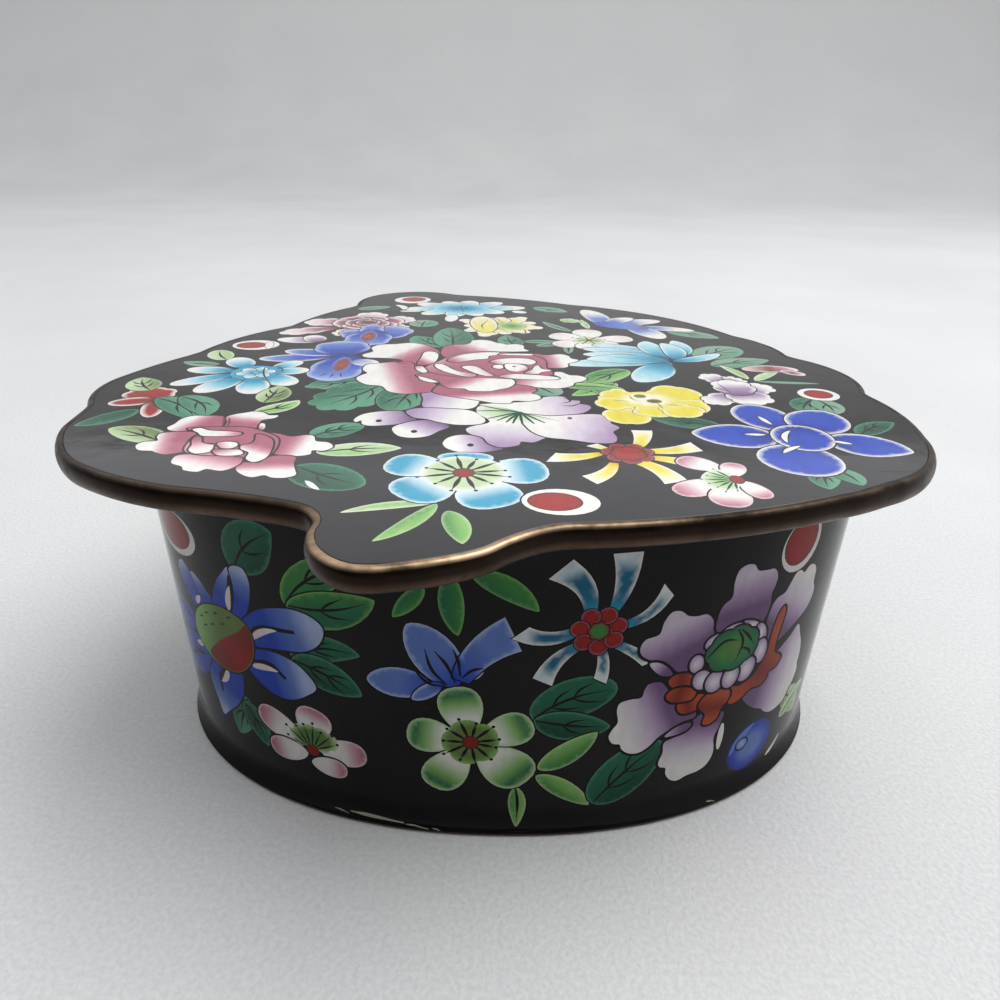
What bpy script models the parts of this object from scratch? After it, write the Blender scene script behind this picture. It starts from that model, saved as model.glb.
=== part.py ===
"""Enamel trinket box: a rounded copper body with a flat leaf-edged lid that lifts off.

Metres, +Z up, +Y to the back. The origin is the middle of the box's outline, on the surface it stands on.
"""

import math

import bpy
import numpy as np

MM = 0.001

# Body: two half superellipses that meet on the line where it is widest
BODY_WIDTH = 101.4 * MM
BODY_FRONT = 35.4 * MM  # from the widest line to the front
BODY_BACK = 65.5 * MM  # from the widest line to the back
FRONT_POWER = 2.15
BACK_POWER = 1.7
WALL = 1.5 * MM
FLOOR = 1.6 * MM
EDGE_ROUND = 0.4 * MM
INNER_FILLET = 3.0 * MM
WAIST_HEIGHT = 3.4 * MM
WAIST_INSET = 1.6 * MM
FOOT_BAND = 1.0 * MM
FOOT_INSET = 0.7 * MM  # the foot is this much smaller all round than the mouth
FOOT_RING = 3.2 * MM
FOOT_RECESS = 1.0 * MM

# Lid: its edge passes the body by these distances
HEIGHT = 50.0 * MM  # of the closed box
SIDE_OVERHANG = 6.6 * MM
FRONT_OVERHANG = 14.9 * MM
BACK_OVERHANG = 10.8 * MM
BODY_ASIDE = 1.9 * MM  # the body's middle lies this far to the right of the lid's
PLATE = 1.4 * MM
RIM_HEIGHT = 2.8 * MM
RIM_ROUND = 0.7 * MM  # how far the rolled rim's round edge goes in
RIM_INNER = 2.0 * MM  # from the lid's edge to the hollow behind the rolled rim
RIM_LIFT = 0.5 * MM  # of the rim's inner edge above its lowest line
LIP_DEPTH = 4.0 * MM
LIP_WALL = 1.0 * MM
LIP_CLEARANCE = 0.4 * MM
SEAT_GAP = 0.3 * MM

BODY_STEPS = 92  # points round the body
LID_STEPS = 168  # points round the lid
RIM_STEPS = 6
FILLET_STEPS = 3
SOFTENING = 1.3 * MM  # how far along the lid's edge its dips are rounded
FINE = 0.25 * MM  # spacing of the points that an outline is first drawn with

# Lid edge: where each arc starts, in millimetres, and how far it bulges outwards before the next
LID_ARCS = (
    (55.9, -9.6, 1.2),
    (56.3, -27.0, 2.6),
    (44.8, -43.1, 0.2),
    (38.5, -46.3, 1.5),
    (7.5, -54.2, -0.5),
    (0.5, -59.3, 0.6),
    (-11.0, -63.0, 2.5),
    (-17.0, -53.0, -0.3),
    (-20.0, -50.5, -0.3),
    (-33.5, -47.4, 0.8),
    (-47.5, -40.8, 1.0),
    (-54.5, -29.0, 0.0),
    (-55.2, -20.6, 1.8),
    (-56.3, -6.0, 0.4),
    (-50.2, 6.8, 1.8),
    (-39.6, 27.2, 1.2),
    (-30.2, 46.8, 9.3),
    (-9.0, 60.6, 1.3),
    (16.0, 51.9, 4.4),
    (45.4, 25.6, 1.7),
    (51.2, 11.0, 3.5),
)


def arc(start, end, bulge, spacing):
    """Points from start up to, not with, end, on the arc that passes bulge to the left of their chord."""
    chord = end - start
    length = float(np.hypot(*chord))
    outward = np.array([-chord[1], chord[0]]) / length
    steps = max(2, round(length / spacing))
    share = np.arange(steps)[:, None] / steps
    straight = start + chord * share
    if abs(bulge) < spacing * 1e-3:
        return straight
    radius = (length**2 / 4 + bulge**2) / (2 * abs(bulge))
    across = (share - 0.5) * length
    rise = np.sqrt(radius**2 - across**2) - (radius - abs(bulge))
    return straight + outward * rise * math.copysign(1, bulge)


def evenly(loop, count):
    """The closed outline again, as count points at even distances along it."""
    closed = np.vstack([loop, loop[:1]])
    along = np.concatenate([[0], np.cumsum(np.hypot(*np.diff(closed, axis=0).T))])
    wanted = np.linspace(0, along[-1], count, endpoint=False)
    return np.column_stack([np.interp(wanted, along, closed[:, i]) for i in (0, 1)])


def softened(loop, spacing, reach):
    """The closed outline with its corners rounded over reach to each side."""
    most = max(1, round(reach / spacing))
    weights = [most + 1 - abs(i) for i in range(-most, most + 1)]
    moved = [np.roll(loop, i, axis=0) * w for i, w in zip(range(-most, most + 1), weights)]
    return sum(moved) / sum(weights)


def inset(loop, distance):
    """The outline moved inwards, point by point, so that outlines made from it can be joined."""
    ahead = np.roll(loop, -1, axis=0) - np.roll(loop, 1, axis=0)
    ahead /= np.hypot(*ahead.T)[:, None]
    return loop + np.column_stack([-ahead[:, 1], ahead[:, 0]]) * distance


def at_directions(loop, middle, directions):
    """Where rays from middle, at these angles, cross the outline."""
    away = loop - middle
    angle = np.arctan2(away[:, 1], away[:, 0])
    order = np.argsort(angle)
    reach = np.interp(directions, angle[order], np.hypot(*away.T)[order], period=2 * math.pi)
    return middle + np.column_stack([np.cos(directions), np.sin(directions)]) * reach[:, None]


def body_outline(middle_x, widest_y):
    turn = np.linspace(0, 2 * math.pi, 1440, endpoint=False)
    across, along = np.cos(turn), np.sin(turn)
    power = np.where(along < 0, FRONT_POWER, BACK_POWER)
    depth = np.where(along < 0, BODY_FRONT, BODY_BACK)
    x = BODY_WIDTH / 2 * np.sign(across) * np.abs(across) ** (2 / power)
    y = depth * np.sign(along) * np.abs(along) ** (2 / power)
    return np.column_stack([middle_x + x, widest_y + y])


def lid_outline():
    """The lid's edge, drawn at its own proportions and then set to its width and depth."""
    knots = np.array([(x, y) for x, y, _ in LID_ARCS]) * MM
    after = np.roll(knots, -1, axis=0)
    arcs = [
        arc(start, end, bulge * MM, FINE)
        for start, end, (_, _, bulge) in zip(knots, after, LID_ARCS)
    ]
    drawn = np.vstack(arcs)[::-1]
    fine = evenly(drawn, round(len(drawn)))
    soft = softened(fine, FINE, SOFTENING)
    low, high = soft.min(axis=0), soft.max(axis=0)
    wanted = np.array(
        [BODY_WIDTH + 2 * SIDE_OVERHANG, BODY_FRONT + BODY_BACK + FRONT_OVERHANG + BACK_OVERHANG]
    )
    return evenly((soft - (low + high) / 2) * wanted / (high - low), LID_STEPS)


def loft(name, rings, colour, metallic, roughness):
    """One closed body: rings of equal length joined in turn, the first closed upwards and the last downwards."""
    count = len(rings[0][0])
    points = [(x, y, z) for loop, z in rings for x, y in loop]
    faces = [tuple(range(count))]
    for ring in range(len(rings) - 1):
        here, there = ring * count, (ring + 1) * count
        for i in range(count):
            j = (i + 1) % count
            faces.append((here + i, there + i, there + j, here + j))
    last = (len(rings) - 1) * count
    faces.append(tuple(range(last + count - 1, last - 1, -1)))
    mesh = bpy.data.meshes.new(name)
    mesh.from_pydata(points, [], faces)
    mesh.shade_smooth()
    mesh.set_sharp_from_angle(angle=math.radians(35))
    material = bpy.data.materials.new(name + "_finish")
    material.use_nodes = True
    shader = material.node_tree.nodes["Principled BSDF"]
    shader.inputs["Base Color"].default_value = (*colour, 1)
    shader.inputs["Metallic"].default_value = metallic
    shader.inputs["Roughness"].default_value = roughness
    mesh.materials.append(material)
    piece = bpy.data.objects.new(name, mesh)
    bpy.context.scene.collection.objects.link(piece)
    return piece


def quarter(steps):
    """Sine and cosine pairs round a quarter turn, ends included."""
    return [
        (math.sin(math.pi / 2 * i / steps), math.cos(math.pi / 2 * i / steps))
        for i in range(steps + 1)
    ]


def make_body(outline):
    """Wall, floor and flared foot in one piece."""
    seat = HEIGHT - PLATE - SEAT_GAP
    floor_top = FOOT_RECESS + FLOOR
    inner_low = WAIST_INSET + WALL
    rings = []
    for sine, cosine in quarter(FILLET_STEPS):
        rings.append(
            (
                inset(outline, inner_low + INNER_FILLET * (1 - sine)),
                floor_top + INNER_FILLET * (1 - cosine),
            )
        )
    rings += [
        (inset(outline, WALL), seat - EDGE_ROUND),
        (inset(outline, WALL - EDGE_ROUND), seat),
        (inset(outline, EDGE_ROUND), seat),
        (outline, seat - EDGE_ROUND),
    ]
    rise = seat - EDGE_ROUND - WAIST_HEIGHT
    flare_middle = FOOT_INSET + (WAIST_INSET - FOOT_INSET) * 0.6
    for share in (0.5, 0.2, 0.05):
        rings.append((inset(outline, WAIST_INSET * (1 - share)), WAIST_HEIGHT + rise * share))
    rings += [
        (inset(outline, WAIST_INSET), WAIST_HEIGHT),
        (inset(outline, flare_middle), (WAIST_HEIGHT + FOOT_BAND) / 2),
        (inset(outline, FOOT_INSET), FOOT_BAND),
        (inset(outline, FOOT_INSET), EDGE_ROUND),
        (inset(outline, FOOT_INSET + EDGE_ROUND), 0),
        (inset(outline, FOOT_RING), 0),
        (inset(outline, FOOT_RING), FOOT_RECESS),
    ]
    return loft("box_body", rings, (0.02, 0.02, 0.024), 0.0, 0.15)


def make_lid(outline, body):
    """Plate, rolled rim and the ring that drops into the body, in one piece."""
    low = HEIGHT - RIM_HEIGHT
    under = HEIGHT - PLATE
    bead = RIM_HEIGHT / 2
    rings = []
    for i in range(RIM_STEPS + 1):
        turn = math.pi / 2 - math.pi * i / RIM_STEPS
        height = low + bead * (1 + math.sin(turn))
        rings.append((inset(outline, RIM_ROUND * (1 - math.cos(turn))), height))
    rings += [
        (inset(outline, RIM_INNER), low + RIM_LIFT),
        (inset(outline, RIM_INNER), under),
    ]
    middle = body.mean(axis=0)
    away = outline - middle
    directions = np.arctan2(away[:, 1], away[:, 0])
    lip_outer = at_directions(inset(body, WALL + LIP_CLEARANCE), middle, directions)
    lip_inner = at_directions(inset(body, WALL + LIP_CLEARANCE + LIP_WALL), middle, directions)
    lip_low = under - LIP_DEPTH
    rings += [(lip_outer, under), (lip_outer, lip_low), (lip_inner, lip_low), (lip_inner, under)]
    return loft("lid", rings, (0.05, 0.05, 0.055), 0.0, 0.2)


def main():
    for old in list(bpy.data.objects):
        bpy.data.objects.remove(old)
    depth = BODY_FRONT + BODY_BACK + FRONT_OVERHANG + BACK_OVERHANG
    widest_y = FRONT_OVERHANG + BODY_FRONT - depth / 2
    body = body_outline(BODY_ASIDE, widest_y)
    make_body(evenly(body, BODY_STEPS))
    make_lid(lid_outline(), body)


main()
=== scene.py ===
"""Looks of the enamel trinket box: black enamel painted with garden flowers, over a copper body and rim.

The flowers are colour in the enamel's surface, not relief. Each is a few flat shapes, laid over one another.
The surface is cut along their outlines, and every corner takes the colour of the top shape there.
Paint sizes are millimetres: x and y on the lid, and on the wall the way round it from the middle of the
front (to the right is more) and the height.
"""

import math

import bpy
import numpy as np
from mathutils import Matrix, Vector
from mathutils.geometry import delaunay_2d_cdt


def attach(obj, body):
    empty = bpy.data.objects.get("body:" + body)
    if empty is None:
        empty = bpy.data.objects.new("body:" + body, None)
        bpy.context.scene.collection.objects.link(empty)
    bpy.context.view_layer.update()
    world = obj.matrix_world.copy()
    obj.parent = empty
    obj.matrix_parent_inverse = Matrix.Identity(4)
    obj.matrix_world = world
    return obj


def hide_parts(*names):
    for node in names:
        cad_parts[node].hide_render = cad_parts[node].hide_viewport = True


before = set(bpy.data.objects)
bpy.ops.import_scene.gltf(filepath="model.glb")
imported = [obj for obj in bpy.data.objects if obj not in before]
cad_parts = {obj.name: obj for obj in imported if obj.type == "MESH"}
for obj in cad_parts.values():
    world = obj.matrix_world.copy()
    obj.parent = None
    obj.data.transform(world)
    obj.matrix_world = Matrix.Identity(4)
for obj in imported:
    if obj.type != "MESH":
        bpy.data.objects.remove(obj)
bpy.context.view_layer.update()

MM = 0.001

# Sizes shared with the CAD pieces, in millimetres
WALL = 1.5
FLOOR = 1.6
EDGE_ROUND = 0.4
INNER_FILLET = 3.0
WAIST_HEIGHT = 3.4
WAIST_INSET = 1.6
FOOT_BAND = 1.0
FOOT_INSET = 0.7
FOOT_RING = 3.2
FOOT_RECESS = 1.0
PLATE = 1.4
RIM_HEIGHT = 2.8
RIM_ROUND = 0.7
RIM_INNER = 2.0
RIM_LIFT = 0.5
LIP_DEPTH = 4.0
LIP_WALL = 1.0
LIP_CLEARANCE = 0.4
HEIGHT = 50.0
SEAT_GAP = 0.3
SEAT = HEIGHT - PLATE - SEAT_GAP  # the height of the body's mouth

# Sizes of the finish, in millimetres
COPPER_LINE = 0.35  # bare copper between the lid's enamel and its rolled rim
ENAMEL_ROUND = 0.2  # of the enamel's edges
ENAMEL_DEPTH = 0.5  # of the lid's enamel behind the copper line
ENAMEL_LOW = 0.6  # where the wall's enamel ends above the foot
PAINT_STEP = 0.8  # between the points that carry the paint's shading
PAINT_CLEAR = 0.12  # from those points to an outline
GROUND_STEP = 2.2  # between the points of the plain black ground
GROUND_CLEAR = 0.6  # from those points to the surface's edge
INK_LINE = 0.2  # of the dark line round a petal or leaf
VEIN = 0.42
COPPER_BEHIND = 0.32  # from the wall's face to the copper behind its enamel
FLARE = 0.985  # how far the foot flares out from the waist
FLARE_TOP = WAIST_HEIGHT + 0.5
FLARE_POWER = 1.6

# Where the lid's copper goes down behind the enamel: how far inside its line, and below the top
TUCKED = ((0.6, 0.7), (0.05, 0.35), (0.02, 0.04))

# How finely round and bent parts are divided
EDGE_STEPS = 3
FILLET_STEPS = 7
RIM_STEPS = 12
WALL_STEP = 1.2
WALL_ROWS = 30
COPPER_ROWS = 12
SHARP_DEGREES = 38

# The wall's texture map lies in rows, one above another
MAP_ROWS = 3

# Heights and depths between which the rim's copper changes, in metres: its painted dark reflection, its
# rubbed crest, and the tongue, where a painted highlight is added to the rub
RIM_DARK_REFLECTION = (0.0477, 0.0486)
RIM_CREST = (0.04955, 0.04985)
TONGUE = (-0.05, -0.057)

# The cloth: its front edge, where it bends up and how roundly, its top and its half width, in metres
CLOTH_FRONT = -1.2
CLOTH_BEND = 0.9
CLOTH_ROUND = 0.5
CLOTH_TOP = 0.62
CLOTH_HALF = 2.0

# Light: the room's colour at its dark and bright sides, and the window
ROOM_DARK = (0.09, 0.088, 0.086)
ROOM_BRIGHT = (0.88, 0.89, 0.91)
ROOM_STRENGTH = 1.03
ROOM_TURNS = (-0.55, 0.65)  # where it starts to brighten and is brightest
ROOM_UP = 0.9  # how fast it brightens upwards, against 1 towards the back
ROOM_RIGHT = 0.5  # and how fast to the right
WINDOW_PLACE = (0.42, 0.08, 0.95)
WINDOW_AIM = (0.05, 0.05, 0)
WINDOW_SIZE = 0.8
WINDOW_POWER = 6.5
WINDOW_COLOUR = (1.0, 1.0, 0.99)

# Camera: where the photograph was taken from, in the box's frame
CAMERA_PLACE = (0.0015, -0.1210, 0.0847)
CAMERA_DOWN = 25.63
CAMERA_ROLL = 1.0
CAMERA_LENS = 27.914

PAINTS = {
    "ink": "150c10",
    "white": "f3f1ec",
    "ice": "dff1f4",
    "sky": "a2d8e6",
    "turquoise": "3aa3c6",
    "teal": "1a6f8e",
    "mist": "b4c3e8",
    "periwinkle": "6884cc",
    "blue": "2448ba",
    "navy": "172c88",
    "lilac pale": "d8cbdc",
    "lilac": "ac90b4",
    "violet": "765880",
    "blush": "eed3d6",
    "pink": "d296a4",
    "rose": "ad5f73",
    "wine": "79384b",
    "red": "a3241f",
    "brick": "7f2a1c",
    "orange": "b9502c",
    "cream": "f7f1c4",
    "yellow": "ecdc48",
    "gold": "d9a030",
    "deep leaf": "124a35",
    "leaf": "276c50",
    "soft leaf": "5f9c7e",
    "green": "418a44",
    "lime": "8ec26c",
    "pale green": "c4dcac",
    "olive": "6c8446",
    "grey leaf": "86a592",
    "worn": "b9bba6",
}


def linear(code):
    """A colour written as hex, in linear red, green and blue."""
    parts = np.array([int(code[i : i + 2], 16) for i in (0, 2, 4)]) / 255
    return np.where(parts <= 0.04045, parts / 12.92, ((parts + 0.055) / 1.055) ** 2.4)


COLOUR = {name: linear(code) for name, code in PAINTS.items()}


def even(*names):
    """Stops for these colours, at even steps from 0 to 1."""
    return tuple((i / (len(names) - 1), name) for i, name in enumerate(names))


# Outlines


def smooth(share):
    """Eases a share from 0 to 1 in and out, and keeps it between them."""
    share = np.clip(share, 0, 1)
    return share * share * (3 - 2 * share)


def toward(degrees):
    """One step in a direction, with 0 to the right."""
    angle = math.radians(degrees)
    return np.array([math.cos(angle), math.sin(angle)])


def left_of(way):
    """One step to the left of each way."""
    return np.column_stack([-way[:, 1], way[:, 0]]) / np.hypot(*way.T)[:, None]


def spine(base, tip, bow, share):
    """Points on a bowed line from base to tip, how it runs there, and one step to its left."""
    along = tip - base
    aside = np.array([-along[1], along[0]]) / np.hypot(*along)
    middle = base + along * share + aside * 4 * bow * share * (1 - share)
    slope = along + aside * 4 * bow * (1 - 2 * share)
    return middle, slope, left_of(slope)


def ahead(loop):
    """Which way the outline runs at each of its points, as one step."""
    step = np.roll(loop, -1, axis=0) - np.roll(loop, 1, axis=0)
    return step / np.maximum(np.hypot(*step.T), 1e-9)[:, None]


def inset(loop, distance):
    """An outline that runs anticlockwise, moved inwards point by point."""
    way = ahead(loop)
    return loop + np.column_stack([-way[:, 1], way[:, 0]]) * distance


def grown(loop, distance):
    """An outline that runs either way round, moved outwards."""
    after = np.roll(loop, -1, axis=0)
    area = (loop[:, 0] * after[:, 1] - after[:, 0] * loop[:, 1]).sum()
    return inset(loop, -distance if area > 0 else distance)


def measured(loop):
    """The outline with its first point again at the end, and how far along it each point lies."""
    closed = np.vstack([loop, loop[:1]])
    return closed, np.concatenate([[0], np.cumsum(np.hypot(*np.diff(closed, axis=0).T))])


def evenly(loop, count):
    """The outline with this many points at even distances."""
    closed, along = measured(loop)
    wanted = np.linspace(0, along[-1], count, endpoint=False)
    return np.column_stack([np.interp(wanted, along, closed[:, i]) for i in (0, 1)])


def curve(points, steps=6, closed=False):
    """A smooth line through the points."""
    points = np.asarray(points, float)
    if closed:
        padded = np.vstack([points[-1:], points, points[:2]])
    else:
        padded = np.vstack([2 * points[0] - points[1], points, 2 * points[-1] - points[-2]])
    share = (np.arange(steps) / steps)[:, None]
    parts = []
    for a, b, c, d in zip(padded, padded[1:], padded[2:], padded[3:]):
        parts.append(
            b
            + 0.5 * share * (c - a)
            + share**2 * (a - 2.5 * b + 2 * c - 0.5 * d)
            + share**3 * (1.5 * (b - c) + 0.5 * (d - a))
        )
    if not closed:
        parts.append(points[-1:])
    return np.vstack(parts)


def ellipse(middle, wide, high, turn=0, count=26):
    """Wide and high are radii, and turn is in degrees."""
    angle = np.linspace(0, 2 * math.pi, count, endpoint=False)
    x, y = wide * np.cos(angle), high * np.sin(angle)
    turn = math.radians(turn)
    return np.array(middle) + np.column_stack(
        [x * math.cos(turn) - y * math.sin(turn), x * math.sin(turn) + y * math.cos(turn)],
    )


def blade(base, tip, width, bow=0, root=0.5, end=0.5, count=13):
    """A petal or leaf. Root and end are how pointed it is there: 0.5 is round and 1 is sharp."""
    base, tip = np.array(base, float), np.array(tip, float)
    share = ((1 - np.cos(np.linspace(0, math.pi, count))) / 2)[:, None]
    middle, _, normal = spine(base, tip, bow, share)
    widest = root / (root + end)
    most = widest**root * (1 - widest) ** end
    half = width / 2 * share**root * (1 - share) ** end / most
    return np.vstack([middle + normal * half, (middle - normal * half)[-2:0:-1]])


def ruffled(loop, lobes, depth, reach=0.25):
    """The outline with rounded lobes, which fade out towards its first point."""
    loop = evenly(loop, max(30, lobes * 7))
    share = np.arange(len(loop)) / len(loop)
    swell = np.abs(np.sin(math.pi * lobes * share)) ** 0.7 - 0.6
    fade = smooth(np.minimum(share, 1 - share) / reach)
    moved = grown(loop, 1) - loop
    return loop + moved * (depth * swell * fade)[:, None]


def ribbon(points, width, thin_start=0.5, thin_end=0.15):
    """A brush stroke through the points, thinner towards its ends."""
    path = curve(points, 5)
    share = np.linspace(0, 1, len(path))
    normal = left_of(np.gradient(path, axis=0))
    start = thin_start + (1 - thin_start) * smooth(share / 0.4)
    end = thin_end + (1 - thin_end) * smooth((1 - share) / 0.5)
    half = (width / 2 * start * end)[:, None]
    return np.vstack([path + normal * half, (path - normal * half)[::-1]])


def crescent(middle, wide, high, start, end, thick, turn=0):
    """A curled petal's edge: an arc from start to end degrees that tapers to both ends."""
    angle = np.radians(np.linspace(start, end, 15))
    share = np.linspace(0, 1, 15)
    cut = thick * np.sin(math.pi * share) ** 0.6
    outer = np.column_stack([wide * np.cos(angle), high * np.sin(angle)])
    inner = outer * (1 - cut / np.hypot(*outer.T))[:, None]
    loop = np.vstack([outer, inner[-2:0:-1]])
    turn = math.radians(turn)
    spin = np.array([[math.cos(turn), math.sin(turn)], [-math.sin(turn), math.cos(turn)]])
    return np.array(middle) + loop @ spin


def inside(points, loop):
    """Which points lie inside the outline."""
    after = np.roll(loop, -1, axis=0)
    x, y = points[:, :1], points[:, 1:]
    crosses = (loop[:, 1] > y) != (after[:, 1] > y)
    rise = after[:, 1] - loop[:, 1]
    rise = np.where(np.abs(rise) < 1e-12, 1, rise)
    at = loop[:, 0] + (y - loop[:, 1]) * (after[:, 0] - loop[:, 0]) / rise
    return (crosses & (x < at)).sum(axis=1) % 2 == 1


def distance(points, loop):
    """How far each point is from the outline."""
    step = np.roll(loop, -1, axis=0) - loop
    away = points[:, None] - loop[None]
    share = np.clip((away * step).sum(axis=2) / np.maximum((step**2).sum(axis=1), 1e-12), 0, 1)
    return np.sqrt(((away - step * share[..., None]) ** 2).sum(axis=2)).min(axis=1)


# Painting


def along_stops(share, stops):
    """The colours at these shares of the way through the stops."""
    places = [place for place, _ in stops]
    colours = np.array([COLOUR[name] for _, name in stops])
    return np.column_stack([np.interp(share, places, colours[:, i]) for i in range(3)])


def petal_paint(loop, base, tip, stops, edge, edge_width, edge_from):
    """Runs through the stops from base to tip, and turns to the edge's colour near the outline."""
    base = np.array(base, float)
    axis = np.array(tip, float) - base

    def paint(points):
        share = (points - base) @ axis / (axis @ axis)
        found = along_stops(share, stops)
        if edge:
            near = (1 - smooth(distance(points, loop) / edge_width)) * smooth(
                (share - edge_from) / 0.25 + 0.5
            )
            found = found + (COLOUR[edge] - found) * near[:, None]
        return found

    return paint


def leaf_paint(loop, base, tip, width, dark, light, edge):
    """Dark on one side of the middle vein, light on the other, with a fine pale edge."""
    base = np.array(base, float)
    axis = np.array(tip, float) - base
    length = np.hypot(*axis)
    aside = np.array([-axis[1], axis[0]]) / length

    def paint(points):
        across = (points - base) @ aside / (width / 2)
        share = (points - base) @ axis / length**2
        light_share = smooth(0.5 + 0.55 * across + 0.25 * (share - 0.4))[:, None]
        found = COLOUR[dark] + (COLOUR[light] - COLOUR[dark]) * light_share
        near = 1 - smooth(distance(points, loop) / 0.45)
        return found + (COLOUR[edge] - found) * 0.65 * near[:, None]

    return paint


def round_paint(middle, wide, high, stops):
    """Runs through the stops from the middle of an ellipse outwards."""
    middle = np.array(middle, float)

    def paint(points):
        away = (points - middle) / np.array([wide, high])
        return along_stops(np.hypot(*away.T), stops)

    return paint


GREENS = {
    "dark": ("deep leaf", "leaf", "soft leaf"),
    "mid": ("leaf", "soft leaf", "soft leaf"),
    "light": ("green", "lime", "pale green"),
    "pale": ("lime", "pale green", "white"),
    "fresh": ("leaf", "green", "lime"),
    "olive": ("olive", "pale green", "pale green"),
    "grey": ("soft leaf", "grey leaf", "grey leaf"),
}


class Painting:
    """Flat shapes in the order they are painted."""

    def __init__(self):
        self.loops = []
        self.paints = []
        self.rings = []

    def area(self, loop, paint, rings=None):
        """A shape in one colour, or with shading carried by points at these distances inside its outline."""
        self.loops.append(np.asarray(loop, float))
        self.paints.append(paint)
        self.rings.append(rings)

    def petal(
        self, base, tip, width, stops, bow=0, root=0.5, end=0.5, lobes=0, depth=0.5, edge="white",
        edge_width=0.7, edge_from=0.25, ink=INK_LINE,
    ):
        loop = blade(base, tip, width, bow, root, end)
        if lobes:
            loop = ruffled(loop, lobes, depth)
        if ink:
            self.area(grown(loop, ink), "ink")
        paint = petal_paint(loop, base, tip, stops, edge, edge_width, edge_from)
        self.area(loop, paint, (edge_width * 0.45, edge_width) if edge else ())

    def forms(self, rows, ink=0.26):
        """Petals of any outline: each has its colours, where they start and end, and points round it."""
        for stops, base, tip, points in rows:
            loop = curve(points, 4, closed=True)
            self.area(grown(loop, ink), "ink")
            self.area(loop, petal_paint(loop, base, tip, stops, None, 0, 0), ())

    def petals(self, rows, stops, **style):
        """One petal for each row of base, tip and width, and its bow if it has one."""
        for x, y, tip_x, tip_y, width, *bow in rows:
            self.petal((x, y), (tip_x, tip_y), width, stops, bow=bow[0] if bow else 0, **style)

    def leaf(self, base, tip, width, tone="mid", bow=0, veins=2, root=0.6, end=0.75, lobes=0, depth=0.4):
        dark, light, edge = GREENS[tone]
        loop = blade(base, tip, width, bow, root, end)
        if lobes:
            loop = ruffled(loop, lobes, depth)
        self.area(grown(loop, INK_LINE), "ink")
        self.area(loop, leaf_paint(loop, base, tip, width, dark, light, edge), (0.2, 0.45))
        base, tip = np.array(base, float), np.array(tip, float)
        along = tip - base
        aside = np.array([-along[1], along[0]]) / np.hypot(*along)

        def at(share, across):
            lift = 4 * bow * share * (1 - share)
            return base + along * share + aside * (lift + across * width)

        if veins:
            self.stroke([at(0.02, 0), at(0.3, 0.02), at(0.6, 0.02), at(0.9, 0)], VEIN)
        for i in range(1, veins):
            start = 0.75 * i / veins
            for side in (-1, 1):
                self.stroke(
                    [at(start, 0), at(start + 0.12, 0.17 * side), at(start + 0.3, 0.27 * side)], VEIN * 0.8,
                )

    def stroke(self, points, width=VEIN, colour="ink", thin_start=0.5, thin_end=0.15):
        self.area(ribbon(points, width, thin_start, thin_end), colour)

    def dot(self, middle, radius, colour="ink"):
        self.area(ellipse(middle, radius, radius, count=9), colour)

    def disc(self, middle, wide, high, stops, turn=0, lobes=0, depth=0.3, ink=INK_LINE):
        loop = ellipse(middle, wide, high, turn)
        if lobes:
            loop = ruffled(loop, lobes, depth, reach=0.001)
        if ink:
            self.area(grown(loop, ink), "ink")
        self.area(loop, round_paint(middle, wide, high, stops), (0.3,))

    def strap(self, base, tip, start, end, stops, bow=0, slant=0, edge="white", edge_width=0.5):
        """A petal that widens from base to a cut end."""
        base, tip = np.array(base, float), np.array(tip, float)
        share = np.linspace(0, 1, 9)[:, None]
        middle, slope, normal = spine(base, tip, bow, share)
        half = (start + (end - start) * share**0.8) / 2
        left, right = middle + normal * half, middle - normal * half
        skew = slope[-1] / np.hypot(*slope[-1]) * slant
        left[-1] += skew
        right[-1] -= skew
        loop = np.vstack([left, right[::-1]])
        self.area(grown(loop, INK_LINE), "ink")
        paint = petal_paint(loop, base, tip, stops, edge, edge_width, 0.3)
        self.area(loop, paint, (edge_width * 0.5,))


# Kinds of flower

PLAIN_WHITE = even("white", "white")
PALE_HEART = ((0, "olive"), (0.35, "pale green"), (0.8, "pale green"), (1, "white"))
INNER_ROSE = ((0, "wine"), (0.5, "wine"), (0.8, "rose"), (1, "pink"))
GREEN_HEART = ((0, "deep leaf"), (0.4, "olive"), (0.8, "olive"), (1, "lime"))


def stamens(work, middle, start, end, inner, outer, count, colour="ink", dots=0.24, width=0.26):
    """Threads from inner to outer, between two angles, each with a dot."""
    middle = np.array(middle, float)
    for i in range(count):
        way = toward(start + (end - start) * i / max(1, count - 1))
        reach = outer * (1 + 0.12 * math.sin(2.4 * i))
        work.stroke(
            [middle + way * inner, middle + way * (inner + reach) / 2, middle + way * reach], width, colour,
        )
        if dots:
            work.dot(middle + way * (reach + dots), dots)


def prunus(
    work, middle, rows, stops, heart, threads=11, seed_size=1.0, hearts=PALE_HEART, thick=0.36, **style,
):
    """Round petals given by angle, reach and width, a pale green heart, and threads round a red seed."""
    middle = np.array(middle, float)
    for angle, reach, width in rows:
        way = toward(angle)
        base = middle + way * heart * 0.3
        work.petal(base, middle + way * reach, width, stops, root=0.75, end=0.42, edge_width=0.6, **style)
    work.disc(middle, heart, heart, hearts, lobes=5, depth=0.5, ink=0)
    stamens(work, middle, 10, 370 - 360 / threads + 10, seed_size, heart * 0.95, threads, width=thick)
    work.disc(middle, seed_size, seed_size, ((0, "red"), (1, "brick")), ink=0.08)


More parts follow.
